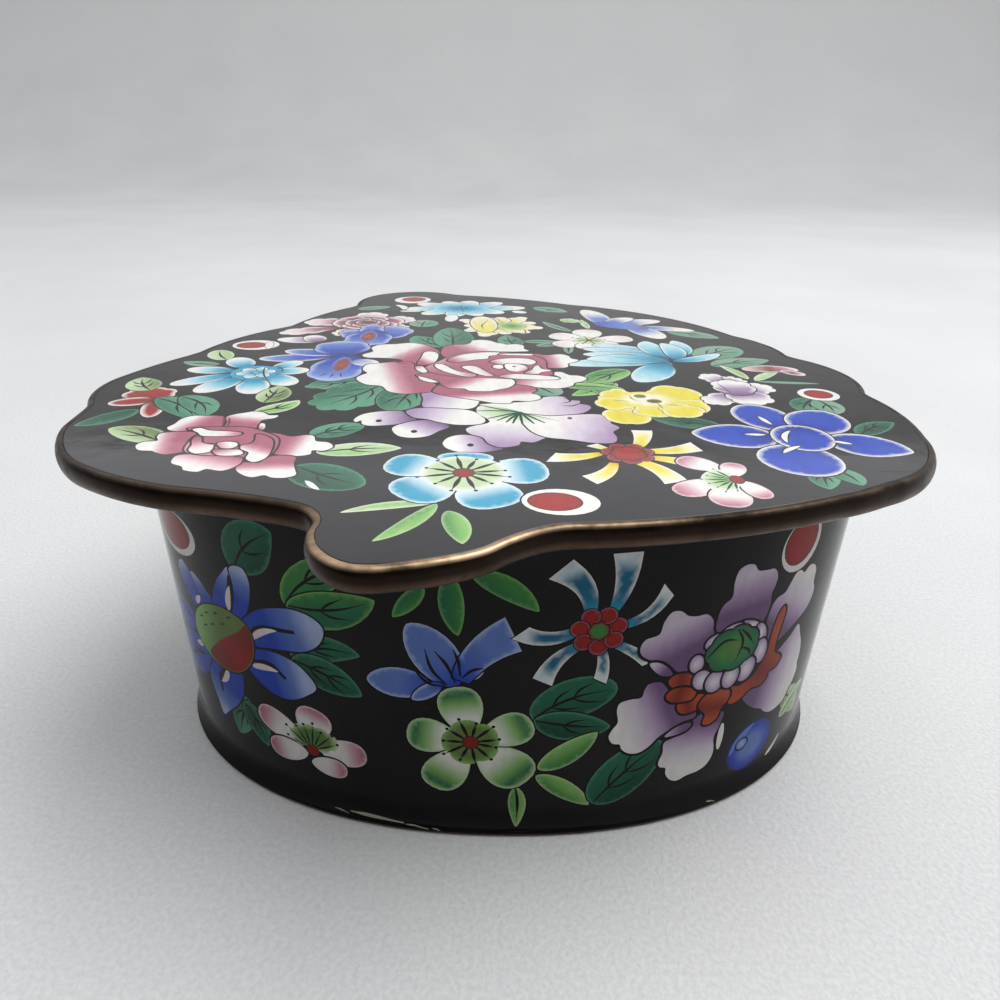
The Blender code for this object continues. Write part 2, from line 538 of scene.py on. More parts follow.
def rosette(work, layers):
    """Ruffled petals in rings: the middle, count, reach, width, how flat it is, and turn of each ring."""
    for middle, count, reach, width, flat, turn in layers:
        middle = np.array(middle, float)
        for i in range(count):
            far = reach * (1 + 0.1 * math.sin(5.3 * i + turn))
            tip = middle + toward(turn + 360 * i / count) * (1, flat) * far
            work.petal(
                middle, tip, width, INNER_ROSE, root=0.6, end=0.34, lobes=5, depth=0.05 * reach,
                edge_width=0.16 * reach, edge_from=0.5, ink=0.22,
            )


def bud(work, middle, wide, high, turn=0, shift=(0, 0), share=0.68):
    """A red bud or berry in a white edge."""
    middle = np.array(middle, float)
    work.disc(middle, wide, high, PLAIN_WHITE, turn)
    work.disc(
        middle + shift, wide * share, high * share, ((0, "red"), (0.8, "red"), (1, "brick")), turn,
        ink=0.05,
    )


# The lid's flowers

TURQUOISE = ((0, "white"), (0.4, "ice"), (0.68, "turquoise"), (1, "turquoise"))
DAISY = ((0, "teal"), (0.3, "turquoise"), (0.6, "sky"), (0.85, "white"), (1, "white"))
ROYAL = ((0, "navy"), (0.4, "blue"), (1, "blue"))
VIOLET_WHITE = ((0, "violet"), (0.45, "lilac"), (0.8, "white"), (1, "white"))
BLOOM_PINK = ((0, "white"), (0.5, "white"), (0.8, "pink"), (1, "rose"))
SUNNY = ((0, "gold"), (0.15, "yellow"), (0.55, "yellow"), (0.85, "cream"), (1, "white"))
SHADED = ((0, "rose"), (0.35, "rose"), (0.62, "pink"), (0.86, "white"), (1, "white"))
BLUSHED = ((0, "rose"), (0.25, "pink"), (0.6, "white"), (1, "white"))
PALE = ((0, "pink"), (0.35, "white"), (1, "white"))
FLUSHED = ((0, "rose"), (0.4, "pink"), (0.75, "blush"), (1, "white"))
DEEP = even("rose", "rose", "pink")


def centre_peony(work):
    petals = (
        (SHADED, (-11.5, 5.4), (-17.4, 8.6), (
            (-22, 6.8), (-20.6, 9), (-21.2, 11.5), (-20, 13.6), (-17.5, 14.2), (-15, 15.2), (-12.5, 14.2),
            (-10.5, 12), (-9.2, 9), (-9.3, 5), (-10, 2), (-13.5, 1.5), (-15.5, 4.4), (-18.5, 5.1),
            (-21, 5.2),
        )),
        (
            BLUSHED, (-12.2, 3.4), (-9.4, 6),
            ((-12.3, 1.8), (-12, 6), (-11.8, 9), (-10.6, 9.6), (-9.4, 8), (-9.4, 4), (-10.3, 1.6)),
        ),
        (SHADED, (-8.2, 9), (-1.4, 14.6), (
            (-8.8, 8), (-9, 11), (-8.6, 13.4), (-6.8, 14.6), (-5.2, 14.8), (-4.2, 16), (-4, 17.6),
            (-2.5, 18.3), (-0.8, 17.8), (0.2, 16.6), (1.6, 15.8), (2.2, 15.2), (4, 15.6), (5.2, 14.6),
            (5.2, 12.6), (6, 11.2), (4, 10.6), (0.5, 10.4), (-4, 9.6), (-7, 5),
        )),
        (SHADED, (6.8, 5), (12, 5.6), (
            (2, 8.8), (4, 9.3), (7, 9.4), (9, 8.6), (11.5, 9.3), (12.7, 8.2), (13, 6.8), (14.2, 5.8),
            (13.5, 4.6), (12.3, 3.6), (12.2, 2), (11.6, 1.2), (10, 0.8), (8.5, 1.2), (7, 4), (5, 7),
        )),
        (SHADED, (-10.4, -4.6), (-17.6, -6.6), (
            (-20.6, -0.5), (-20.2, 1), (-18.8, 1.6), (-16, 2.8), (-13.5, 2.8), (-12.5, 0.5), (-11, -3),
            (-10.5, -6), (-8.5, -9), (-8, -12), (-10, -13.2), (-12.5, -13.9), (-15, -12.8), (-16.3, -10.4),
            (-18.5, -9.8), (-20, -8.3), (-20.7, -6.5), (-20.1, -4.8), (-19.5, -3.8), (-20.4, -2.2),
        )),
        (BLUSHED, (4.4, -5.4), (9.6, -8), (
            (1, -5), (4, -5.5), (8, -5.8), (10.5, -4.6), (9.5, -2.8), (9.5, -1.8), (10.8, -1.4), (12, -3),
            (13.5, -3.3), (14.6, -4.6), (13.8, -6.2), (12.6, -7), (12, -8.6), (10, -10), (7.5, -9.8),
            (5, -9.2), (3.2, -8.2), (3, -6.5),
        )),
        (SHADED, (-1, -11.4), (0, -15.4), (
            (-8.6, -12.2), (-7.5, -13.8), (-5, -15), (-2, -16.2), (0.5, -17.3), (2.6, -17.3), (3.2, -16.2),
            (5.5, -16.2), (7, -15), (6.8, -13.5), (5.8, -12.6), (6.6, -11.2), (6, -9.5), (3.5, -8.5),
            (0, -8), (-4, -8.5), (-7.5, -9),
        )),
        (SHADED, (-6.6, -4.8), (-1.4, -9), (
            (-11.5, -4), (-11.4, -5.5), (-9.5, -7), (-8, -8), (-7.4, -9.5), (-6, -10.8), (-4, -10.9),
            (-3.2, -11.9), (-0.5, -12), (0.8, -11.2), (2.5, -10), (3.4, -8), (3.2, -6.2), (2, -5),
            (0, -4.2), (-4, -3), (-8, -2),
        )),
        (DEEP, (-1, 0), (-9, 5), (
            (-9.8, 2), (-8.2, 5), (-6.8, 7), (-5, 9), (-2, 10.2), (1, 10.2), (4, 9), (7, 8), (8.6, 5),
            (8.6, 1), (9.5, -2.5), (7, -5), (3, -5.5), (-2, -5), (-6, -4.8), (-9.5, -3), (-10.8, -0.5),
        )),
        (BLUSHED, (-7, 4), (-3, 7.4), (
            (-7.6, 4), (-7, 6), (-4.8, 8.2), (-2, 9.6), (0.8, 9.8), (0.6, 8.2), (-0.8, 7.4), (-1, 5.8),
            (-3, 5), (-4.6, 4), (-5.6, 3.2), (-6.6, 3),
        )),
        (PALE, (1, 8.4), (5, 9), ((1, 8.9), (3.5, 9.2), (6.5, 9.1), (6.2, 8.2), (3, 8.2), (1.2, 8.2))),
        (BLUSHED, (-0.4, 3), (3, 5), (
            (-0.6, 4), (0.8, 5.4), (3, 6.2), (5.4, 6.2), (6.8, 5), (6.9, 3.6), (6, 2.6), (4.6, 3), (3, 3),
            (1.4, 2.4), (0.2, 3),
        )),
        (PALE, (0, 0), (1.4, 1.6), ((0.2, 1.8), (1.4, 2), (1.6, 0.4), (0.8, -0.2), (0, 0.6))),
        (PALE, (5.6, -1), (8.4, -1), (
            (7.4, 2), (7.8, 0.2), (9.2, -0.4), (9, -1), (7.8, -1.6), (7, -2.6), (5, -2.3), (6.2, -0.5),
            (6.7, 1.5),
        )),
        (
            PALE, (5.4, 0), (3, 1),
            ((2, 2.6), (3.5, 2.9), (5, 2), (5.6, 0.4), (5, -1), (3.8, -1.6), (2.6, -1), (2, 0.5)),
        ),
        (PALE, (2, -3.6), (6, -5), (
            (1, -4.2), (3, -3), (6, -3.2), (8, -3.6), (10.2, -4.4), (10, -5.4), (8, -5.8), (4.5, -5.6),
            (2, -5),
        )),
        (
            PALE, (-12, 0), (-10, -2),
            ((-12.4, 0.2), (-11.5, 0.6), (-10.8, -0.8), (-10.3, -2.6), (-11, -3), (-12, -1.6)),
        ),
        (PALE, (-5, -1.6), (-7.4, -2.6), (
            (-9.4, 1.6), (-8.4, 2), (-7.4, 0.8), (-6.6, -0.6), (-5.6, -1.8), (-4, -2.6), (-2.6, -3.6),
            (-2.8, -4.7), (-4, -4.8), (-6, -3.6), (-7.6, -2.2), (-9, -0.2),
        )),
        (BLUSHED, (-0.4, -0.6), (-3.4, -2), (
            (-5, 0.4), (-4, 1.2), (-2.6, 0.8), (-1.6, -0.8), (-0.6, -2.6), (0.2, -4), (-1, -4.2),
            (-2.6, -3), (-4, -1.2),
        )),
        (
            PALE, (-9, -6), (-10.6, -7.4),
            ((-11.4, -5.2), (-10.5, -5.6), (-9, -6.9), (-8.2, -8), (-9.4, -8), (-10.8, -6.9)),
        ),
    )
    work.forms(petals)
    work.dot((3.4, 1.3), 0.35, "wine")
    work.stroke(((-18.4, 4.7), (-16.4, 3.2), (-14.4, 1.4)), 0.4)
    work.stroke(((-16.4, 3.9), (-15.2, 2.4), (-13.2, 1.6)), 0.3, "wine")


def lilac_bloom(work):
    hue = ((0, "violet"), (0.3, "lilac"), (0.65, "lilac pale"), (0.85, "white"), (1, "white"))
    soft = ((0, "lilac"), (0.45, "lilac pale"), (0.8, "white"), (1, "white"))
    outer = ((0, "white"), (0.3, "white"), (0.65, "lilac pale"), (1, "lilac"))
    petals = (
        (soft, (-9, -16), (-3, -18), (
            (-10, -13.4), (-9.6, -16), (-9.2, -19.6), (-6, -20), (-3, -20), (-1.8, -18), (-2, -14),
            (-5, -13), (-8, -12),
        )),
        (hue, (-10.5, -24), (-16.4, -25), (
            (-17.8, -25), (-17, -23), (-15, -21.8), (-12.6, -21.4), (-11.2, -22), (-10, -24), (-9.8, -25.6),
            (-12, -26.6), (-15, -27.3), (-16.4, -26.8), (-16.8, -25.4), (-17.4, -26),
        )),
        (hue, (-6.5, -25.6), (-10.5, -30), (
            (-12.4, -28.2), (-11.6, -26.6), (-9.8, -25.2), (-8, -24.9), (-6, -25.8), (-5.2, -27.2),
            (-6.4, -28.8), (-7.6, -30.6), (-9.6, -31.3), (-11.4, -30.6),
        )),
        (soft, (-10.4, -22), (-3, -24), (
            (-11.4, -21.4), (-9.6, -20), (-6, -20.1), (-3, -20.6), (-1.4, -22.4), (-0.6, -24.6),
            (-1.4, -26), (-4, -26.4), (-6.4, -25.6), (-8.4, -24.4), (-10.2, -23.8),
        )),
        (hue, (0.6, -32.4), (-4.6, -33.4), (
            (-5.6, -33), (-5, -31), (-3.4, -30), (-1.2, -30.6), (0, -32.4), (1.4, -34), (1.6, -34.6),
            (-0.5, -35.6), (-3, -35.8), (-4.8, -34.8),
        )),
        (outer, (2, -19), (13.4, -17.5), (
            (0, -17.6), (3, -17), (6, -16.2), (7, -14.8), (8.4, -14), (10.4, -14), (11.2, -15.4),
            (12.6, -15.8), (12.4, -17), (13.6, -17.6), (13.8, -19), (12.4, -21), (10, -21.8), (7, -23),
            (4, -21.5), (-1.5, -18.5),
        )),
        (outer, (1.5, -22.5), (1.6, -33), (
            (-3, -28), (-2.2, -26.8), (0, -25), (-1.6, -21), (3, -21), (6, -26), (7, -30), (6.6, -31),
            (5.4, -32.2), (4, -32), (3.6, -33.2), (1.6, -34), (0, -32.8), (-0.8, -30.8), (-2.4, -29.6),
        )),
        (outer, (5, -25), (16, -28.4), (
            (5, -27.5), (4, -22), (8, -22.4), (11, -21.8), (14, -21.3), (15.8, -22), (16.5, -23.6),
            (15.8, -24.6), (16.8, -26.4), (15.8, -28), (16, -30), (15.4, -31.8), (13, -32), (10, -31),
            (7, -30.2),
        )),
    )
    work.forms(petals)
    work.area(
        curve(
            (
                (-1.4, -18.6), (2, -19.4), (5, -21.6), (9.2, -24.3), (6.4, -25.2), (3, -25), (0, -24),
                (-1.8, -21.6),
            ),
            4, True,
        ),
        round_paint((3.6, -20.8), 6.4, 4.4, ((0, "soft leaf"), (0.45, "pale green"), (1, "white"))), (0.4,),
    )
    for end in (
        (-0.3, -23.8), (0.9, -24.6), (2.1, -25.2), (3, -25.5), (4.3, -25.9), (5.8, -25.5), (7.2, -25.1),
    ):
        work.stroke(
            ((4.1, -20.9), ((4.1 + end[0]) / 2 - 0.1, (end[1] - 20.9) / 2), end), 0.42, "deep leaf",
            thin_end=0.6,
        )
    work.stroke(((-1.8, -18.2), (1, -19.8), (4.4, -21.4), (9.2, -24.3)), 0.42, "deep leaf")
    work.stroke(((-2.2, -20.8), (0.6, -20.6), (4, -20.8)), 0.4, "deep leaf")
    for line in (((10.4, -14.2), (11.2, -16), (9.2, -17.3)), ((12.6, -16.8), (11.2, -18), (9.6, -17.8))):
        work.stroke(line, 0.32)
    for place in ((-14.5, -25.4), (-9.5, -29.1), (-2.2, -33.4)):
        work.area(ellipse(place, 0.42, 0.55, 0, 10), "ink")
    work.area(ellipse((10.6, -23.1), 0.35, 0.5, 0, 10), "violet")


def side_peony(work):
    petals = (
        (SHADED, (-35, -28), (-39.6, -26.4), (
            (-40.2, -28), (-40, -26), (-39, -24.8), (-37, -24.6), (-35, -24.8), (-34.2, -27), (-33.6, -29),
            (-36, -29.2), (-37.6, -29), (-38, -30.5), (-39.8, -30.2), (-40.6, -29.2),
        )),
        (SHADED, (-32, -28.8), (-31, -24), (
            (-34.5, -25), (-33.6, -23.8), (-32.6, -23.2), (-31.5, -22.6), (-30.2, -23), (-29.2, -24),
            (-28, -24), (-28.2, -25), (-29.6, -26), (-29.4, -28), (-28.8, -30), (-31, -30), (-33.4, -29),
            (-33.8, -27),
        )),
        (
            FLUSHED, (-29.4, -29), (-28.6, -28),
            ((-29.4, -27.2), (-28.8, -27.4), (-28.4, -29), (-28.7, -29.6), (-29.2, -28.8)),
        ),
        (SHADED, (-36.2, -34), (-40.6, -35), (
            (-40.4, -31.2), (-38, -30.6), (-36.4, -31), (-36, -33), (-35.6, -36), (-35.8, -37.2),
            (-37.4, -38), (-38.8, -37.4), (-39.4, -37), (-41, -36.8), (-41.9, -35.4), (-41.4, -34.2),
            (-40, -33.8), (-40.6, -32.4),
        )),
        (SHADED, (-26, -34.4), (-21.4, -34.8), (
            (-27.6, -30.6), (-26, -30.8), (-24.4, -31.6), (-22.6, -31), (-21.6, -31.4), (-21, -33),
            (-19.4, -33.4), (-18.6, -34.8), (-19.4, -36), (-20.8, -36), (-20.8, -37.2), (-22.4, -37.8),
            (-25, -37.2), (-26, -35), (-27, -32.5),
        )),
        (SHADED, (-24.8, -38.6), (-24.2, -42.8), (
            (-27.8, -40), (-26, -40), (-25, -38), (-22.4, -38), (-22, -40), (-21.4, -41.8), (-21, -43.2),
            (-22, -44), (-23.4, -44), (-24.4, -43.4), (-25.6, -44), (-27, -43.2), (-28, -41.8),
        )),
        (FLUSHED, (-31, -37.8), (-32.4, -41.4), (
            (-35.8, -38.2), (-34, -37.8), (-32, -37.8), (-29, -37.6), (-28, -39.5), (-28.3, -41.2),
            (-29.4, -42.4), (-31.2, -42), (-32, -42.8), (-33.6, -42.4), (-34.2, -41.4), (-35.6, -40.6),
            (-36, -39.4),
        )),
        (DEEP, (-31, -32.4), (-35, -37), (
            (-38, -29.4), (-35, -28.8), (-31, -28.6), (-28.4, -30), (-26, -32), (-25.2, -35), (-25.4, -38),
            (-26.6, -39.8), (-28, -38.5), (-30, -38), (-33, -38), (-35.6, -36.8), (-36.2, -33), (-36, -31),
        )),
        (FLUSHED, (-30.4, -31), (-33.4, -30.8), (
            (-37.2, -29.8), (-36.4, -29.2), (-35, -30), (-32.5, -30.2), (-30.8, -30.6), (-31, -31.6),
            (-33, -31.9), (-35.2, -31.9), (-36.2, -30.8),
        )),
        (FLUSHED, (-35.2, -33), (-34, -36.4), (
            (-36, -32.2), (-35.2, -32.4), (-34.4, -34.2), (-33, -34.6), (-32.6, -36), (-32.6, -37),
            (-34, -37.6), (-35.2, -36.6), (-35.4, -35), (-35.9, -33.6),
        )),
        (
            FLUSHED, (-31.6, -36.2), (-30.4, -37.8),
            ((-32.4, -36.4), (-31, -36.2), (-29.4, -36.2), (-28.6, -37.4), (-29.6, -38), (-31.4, -37.9)),
        ),
        (
            FLUSHED, (-32.8, -35.4), (-31, -34.4),
            ((-32.6, -34.2), (-31.6, -33.7), (-30.4, -34), (-30, -35), (-30.6, -35.8), (-31.8, -35.6)),
        ),
        (SHADED, (-26.4, -33.6), (-28.4, -37.2), (
            (-28.8, -31), (-27.4, -31.6), (-26.2, -33.2), (-25.6, -36), (-25.6, -38.5), (-26.6, -39.8),
            (-27.8, -38.8), (-28, -37), (-29.2, -36), (-29.5, -34.8), (-28.6, -34.2), (-28.4, -33),
        )),
    )
    work.forms(petals)
    for line in (
        ((-35, -24.6), (-34.4, -26.4), (-33.9, -28.6)),
        ((-34.2, -25), (-33.6, -26.6), (-33.3, -28.4)),
    ):
        work.stroke(line, 0.3, "wine", 0.3, 0.6)
    work.stroke(((-34.8, -33.6), (-33.8, -34.4), (-32.6, -34.8), (-31.6, -36), (-30.4, -36)), 0.26)


def royal_flower(work):
    style = {"edge_width": 0.75, "root": 0.55, "edge_from": 0, "ink": 0.26}
    work.petals(((37.8, -26.5, 35.9, -16, 7.8),), ROYAL, end=0.5, **style)
    work.petals(((41.2, -27, 46.3, -18.3, 8.4),), ROYAL, end=0.6, **style)
    work.petals(
        ((42, -30.6, 51.6, -33.4, 7.8, 0.8), (36.5, -28.6, 25.8, -27.7, 8.4, 0.4)), ROYAL, end=0.7, **style,
    )
    work.petals(((39.4, -32, 34.4, -40.4, 10),), ROYAL, end=0.5, **style)
    work.petals(((40.6, -24.4, 38.6, -33.4, 7.8),), ROYAL, end=0.5, edge_from=-1, edge_width=0.7, ink=0.24)
    for middle, wide, high, start, end in (
        ((39.9, -29.6), 3, 3.4, 110, 200),
        ((38.8, -21.6), 2.6, 3.4, 170, 232),
        ((39, -34.9), 3.6, 3.2, 100, 168),
        ((33.8, -31.6), 3.6, 3.9, 66, 112),
        ((44.9, -27.4), 3, 3.5, 226, 276),
    ):
        work.area(crescent(middle, wide + 0.2, high + 0.2, start - 4, end + 4, 1.15), "ink")
        work.area(crescent(middle, wide, high, start, end, 0.75), "white")


def pinwheel(work, middle, rows, stops, beads, bead_ring, bead, heart, heart_size):
    """Cut-ended petals round a ring of red beads with pale edges."""
    middle = np.array(middle, float)
    for x, y, tip_x, tip_y, start, end, bow, slant in rows:
        work.strap((x, y), (tip_x, tip_y), start, end, stops, bow, slant)
    for i in range(beads):
        angle = 2 * math.pi * (i + 0.3) / beads
        place = middle + bead_ring * np.array([math.cos(angle), math.sin(angle)])
        work.disc(place, bead, bead, ((0, "red"), (0.55, "red"), (0.85, "brick"), (1, "rose")), ink=0.14)
    work.disc(
        middle, heart_size, heart_size, ((0, heart), (0.7, heart), (1, "brick")), lobes=7, depth=0.3,
        ink=0.12,
    )


def yellow_pinwheel(work):
    rows = (
        (17.9, -33.4, 19.5, -27.3, 1.2, 2.7, -0.4, 0),
        (19.2, -34.4, 25.4, -32.6, 1.3, 2.9, -0.5, 0.4),
        (19.2, -36.4, 26, -39.2, 1.2, 3, 0.3, -0.4),
        (17.2, -37.4, 20.8, -43.4, 1.6, 2.9, 0.7, -0.3),
        (14.6, -38.2, 11.3, -43.2, 1, 2.6, 0.6, 0),
        (13.4, -35.4, 7.4, -36.8, 0.9, 2.9, 0.5, 0.5),
        (14.2, -33.9, 12.6, -32.6, 0.9, 1.6, 0, 0.3),
    )
    pinwheel(work, (16.7, -35.2), rows, SUNNY, 7, 2.1, 1.1, "red", 2.1)


def yellow_blossom(work):
    style = {"lobes": 5, "depth": 0.5, "root": 0.55, "end": 0.36, "edge": "cream", "edge_width": 0.8}
    sunny = even("cream", "yellow", "yellow")
    petals = (
        (21.5, -18, 16.5, -24.2, 6.5),
        (23, -15, 29.8, -9.8, 8.5),
        (24, -16, 30.2, -18.6, 7),
        (20, -14, 16.2, -11.6, 6),
        (21, -16, 14.8, -16.8, 5.5),
        (22.5, -16.5, 23, -21.9, 6.5),
        (24.5, -16, 27.8, -21.6, 6),
    )
    work.petals(petals, sunny, ink=0.1, **style)
    work.disc((22.3, -14.6), 4.6, 3.6, ((0, "white"), (0.6, "cream"), (1, "yellow")), ink=0)
    work.disc((21.5, -13.1), 0.9, 0.8, even("olive", "olive"), ink=0)
    work.disc((23.2, -15.3), 1.1, 0.9, even("brick", "olive"), ink=0)
    for line in (
        ((20, -13), (20.2, -14.4), (20.8, -15.4)),
        ((23.5, -16.2), (23.7, -17.4), (23.9, -18.8)),
        ((24.6, -16.6), (26, -16.9), (27.2, -16.8)),
        ((19.6, -15.6), (18.2, -15.3), (17, -15.2)),
    ):
        work.stroke(line, 0.22, "olive")


def turquoise_side(work):
    folded = ((0, "teal"), (0.25, "turquoise"), (0.6, "sky"), (1, "ice"))
    style = {"edge": "ice", "edge_width": 0.5, "end": 0.6, "root": 0.6}
    petals = (
        (29.6, 7.5, 17.5, 16.2, 4.6, -1.4),
        (29.6, 7, 15.5, 13.2, 4.8, -1.2),
        (29.6, 6.4, 15.2, 9.6, 4.8, -0.8),
        (29.4, 5.8, 11.8, 2.8, 5.2, -0.8),
        (29.5, 6.2, 15.6, 6.4, 5.2, -0.8),
        (29.4, 5.4, 26.4, -3.2, 3.4, -0.9),
        (28.2, 4.8, 22.2, -6, 6.2, 0.5),
        (30.2, 8.5, 27.6, 19.4, 4.6, 1),
        (31.6, 9, 32.6, 20.2, 3.8, -1),
        (30.4, 7.2, 30.2, 18.2, 4, -1.2),
        (29.9, 6.2, 39, 11.6, 3, -0.9),
    )
    work.petals(petals, folded, **style)
    for line in (
        ((29.2, 6.6), (24, 9.2), (18, 12)),
        ((29.2, 6.2), (24, 7.4), (18, 8.6)),
        ((29, 5.6), (24, 5.2), (18, 4.8)),
    ):
        work.stroke(line, 0.2, "teal")


def lilac_bell(work):
    style = {"lobes": 7, "depth": 0.5, "end": 0.4, "edge_width": 0.9}
    petals = (
        (36.5, -6, 33.2, -1.4, 4.2),
        (36.4, -5, 38.6, -3.4, 4),
        (36, -11, 30.8, -15.8, 4.6),
        (37, -10, 42, -7, 5),
        (36.8, -9, 38, -16, 6.4),
        (36.6, -12, 36.2, -4.4, 6.2),
    )
    work.petals(petals, VIOLET_WHITE, **style)
    for line in (((34.4, -6), (35, -9), (35.2, -12)), ((33.4, -8.2), (34.2, -9.4), (35.4, -9.8))):
        work.stroke(line, 0.24, "violet")


def small_prunus(work):
    petals = (
        (26.8, -39.6, 22.2, -36.6, 3.8),
        (27.4, -41.6, 28.6, -37.6, 3),
        (26.2, -42.8, 20.2, -46.2, 4),
        (26.6, -43.8, 25.2, -49.4, 4.6),
        (28.2, -42.8, 29.8, -47.2, 2.8),
    )
    work.petals(petals, BLOOM_PINK, root=0.6, end=0.42, edge="blush", edge_width=0.4)
    work.disc((25.9, -42.6), 2.2, 3, ((0, "lime"), (0.6, "pale green"), (1, "white")), turn=-20, ink=0)
    stamens(work, (27.4, -42.4), 120, 262, 0.6, 3.2, 8, "deep leaf", 0.14, 0.3)
    work.disc((27.7, -42.4), 0.8, 1.1, even("red", "brick"), ink=0.06)


def left_daisy(work):
    petals = (
        (-38.6, -2.2, -42.4, 3.6, 4.4),
        (-34.6, -2.6, -31.2, 2.4, 3.4),
        (-34.2, -4.2, -28.8, -2.6, 3.8),
        (-34.6, -5.6, -29.4, -10.6, 4.6),
        (-36, -7.4, -34.2, -15.2, 4.8),
        (-38, -7.2, -42.2, -15, 4.6),
        (-39.6, -5.8, -47.2, -11.6, 3.8),
        (-40, -4, -47.6, -3.4, 3.8),
    )
    work.petals(petals, DAISY, end=0.5, root=0.6)
    work.disc((-36.8, -4.6), 3.6, 3.8, ((0, "sky"), (0.6, "turquoise"), (1, "turquoise")), ink=0)
    for angle in range(20, 380, 60):
        way = toward(angle)
        work.petal(
            (-36.6, -4.6) + way * 0.5, (-36.6, -4.6) + way * 3, 2, even("turquoise", "ice"), edge_width=0.3,
            ink=0.12,
        )
    work.stroke(((-36, -1.4), (-35.6, -4), (-34.4, -7.2), (-32.8, -9.4)), 0.3)
    work.stroke(((-34.4, -0.8), (-33, -2.6), (-32.8, -4.2)), 0.26)


def irises(work):
    style = {"lobes": 7, "depth": 0.4, "end": 0.42, "root": 0.55, "edge": "mist", "edge_width": 1.1}
    deep = ((0, "navy"), (0.4, "blue"), (0.8, "periwinkle"), (1, "mist"))
    throat = ((0, "orange"), (0.6, "brick"), (1, "periwinkle"))
    work.petals(((-30, 16.6, -38.8, 16.4, 4.2, 0.5), (-31, 15, -33.6, 19.4, 4)), VIOLET_WHITE, end=0.5)
    work.petals(
        ((-23.4, 17, -27.4, 24.2, 5.6), (-22.8, 17, -17.6, 27.4, 8.4), (-22.8, 20, -23.6, 29, 4.4)), deep,
        **style,
    )
    work.petals(((-22.6, 24, -23, 13, 8.4),), deep, **style)
    work.area(ellipse((-23, 19.4), 1.6, 4.4, 4), round_paint((-23, 19.4), 1.6, 4.4, throat), (0.3,))
    work.petals(
        ((-26, 7, -38.4, 3.4, 4.6, 0.8), (-25, 8, -35.4, 8.6, 4.4, 0.6)), deep, end=0.5, edge="white",
        edge_width=0.8,
    )
    work.petals(((-25, 6, -27.2, 15.6, 9.4),), deep, **style)
    work.petals(((-24.4, 6.4, -24.8, -8.2, 8.6),), deep, **style)
    work.petals(((-23, 3, -18.6, 1.2, 3.8),), even("periwinkle", "white"))
    work.area(ellipse((-24.3, 0.6), 1.5, 4.6, 3), round_paint((-24.3, 0.6), 1.5, 4.6, throat), (0.3,))
    for line in (
        ((-24.6, -4.4), (-24.8, -6.8)),
        ((-23.6, -4.2), (-23, -6.4)),
        ((-25.6, -4.2), (-26.6, -6.2)),
    ):
        work.stroke([line[0], np.mean(line, axis=0), line[1]], 0.24)


def far_pink(work):
    style = {"lobes": 7, "depth": 0.6, "end": 0.4, "root": 0.55, "edge_width": 1.3}
    dusk = ((0, "wine"), (0.35, "rose"), (0.7, "blush"), (1, "white"))
    petals = (
        (-26, 31, -24.6, 39.6, 6.4),
        (-22, 31, -16.8, 35.4, 6),
        (-28, 31, -37, 29.8, 6),
        (-30, 26, -39.4, 20.6, 4.8),
        (-27, 26, -28.8, 19.8, 3.6),
        (-21, 29, -17.2, 25.8, 4.2),
    )
    work.petals(petals, dusk, **style)
    rosette(work, (
        ((-25.4, 30.6), 6, 7, 6.4, 0.8, 20),
        ((-25.2, 30.6), 5, 4.4, 4.4, 0.8, 50),
        ((-25, 30.6), 4, 2.4, 2.8, 0.8, 0),
    ))


def far_daisy(work):
    rows = []
    for i, (reach, width) in enumerate(
        (
            (13.5, 5), (11.5, 4.6), (9.6, 4.8), (9.2, 4.4), (11.2, 4.8), (12.4, 4.4), (11, 4.6), (9.8, 4.4),
            (9, 4.2), (10, 4.8),
        ),
    ):
        angle = math.radians(8 + 36 * i)
        rows.append(
            (-7.2, 45.2, -7.2 + reach * math.cos(angle), 45.2 + reach * 0.85 * math.sin(angle), width),
        )
    work.petals(rows, DAISY, end=0.45)
    work.petals(((-8.8, 39, -9, 32.6, 2.6), (3.5, 43.5, 6.2, 41.6, 2.4)), even("ice", "white"))
    work.disc((-7.4, 45.2), 5.8, 4.6, even("teal", "turquoise", "sky"), lobes=10, depth=0.5, ink=0)
    stamens(work, (-7.4, 45.2), 0, 330, 0.6, 2.6, 8, "navy", 0.2)


def far_chrysanthemum(work):
    sunny = ((0, "gold"), (0.4, "yellow"), (0.8, "cream"), (1, "white"))
    rows = []
    for i in range(11):
        angle = math.radians(20 + 33 * i)
        reach = 7.6 + 1.2 * math.sin(2.1 * i)
        rows.append((0.6, 30, 0.6 + reach * math.cos(angle), 30 + 1.1 * reach * math.sin(angle), 4))
    work.petals(rows, sunny, end=0.42, lobes=5, depth=0.5)
    work.petals(((-1.5, 24, -3, 37.6, 5.2),), even("yellow", "cream"), end=0.45)
    work.disc((3.2, 29.6), 2.8, 3, ((0, "olive"), (0.7, "lime"), (1, "pale green")), ink=0.1)
    for line in (
        ((-1.6, 34), (-2.6, 30), (-2.2, 26)),
        ((2, 31.6), (3.6, 30), (2.6, 27.8)),
        ((5.6, 27), (5.8, 24.5), (5.4, 22.5)),
    ):
        work.stroke(line, 0.34, "olive")


def far_prunus(work):
    faint = ((0, "white"), (0.6, "white"), (1, "blush"))
    prunus(
        work, (17.2, 19.4),
        ((88, 8.4, 5.6), (14, 8.4, 5), (150, 7.8, 5.4), (214, 7.6, 5), (268, 6.4, 5.4), (316, 6, 4.6)),
        faint, 2.9, 8, seed_size=0.5,
    )


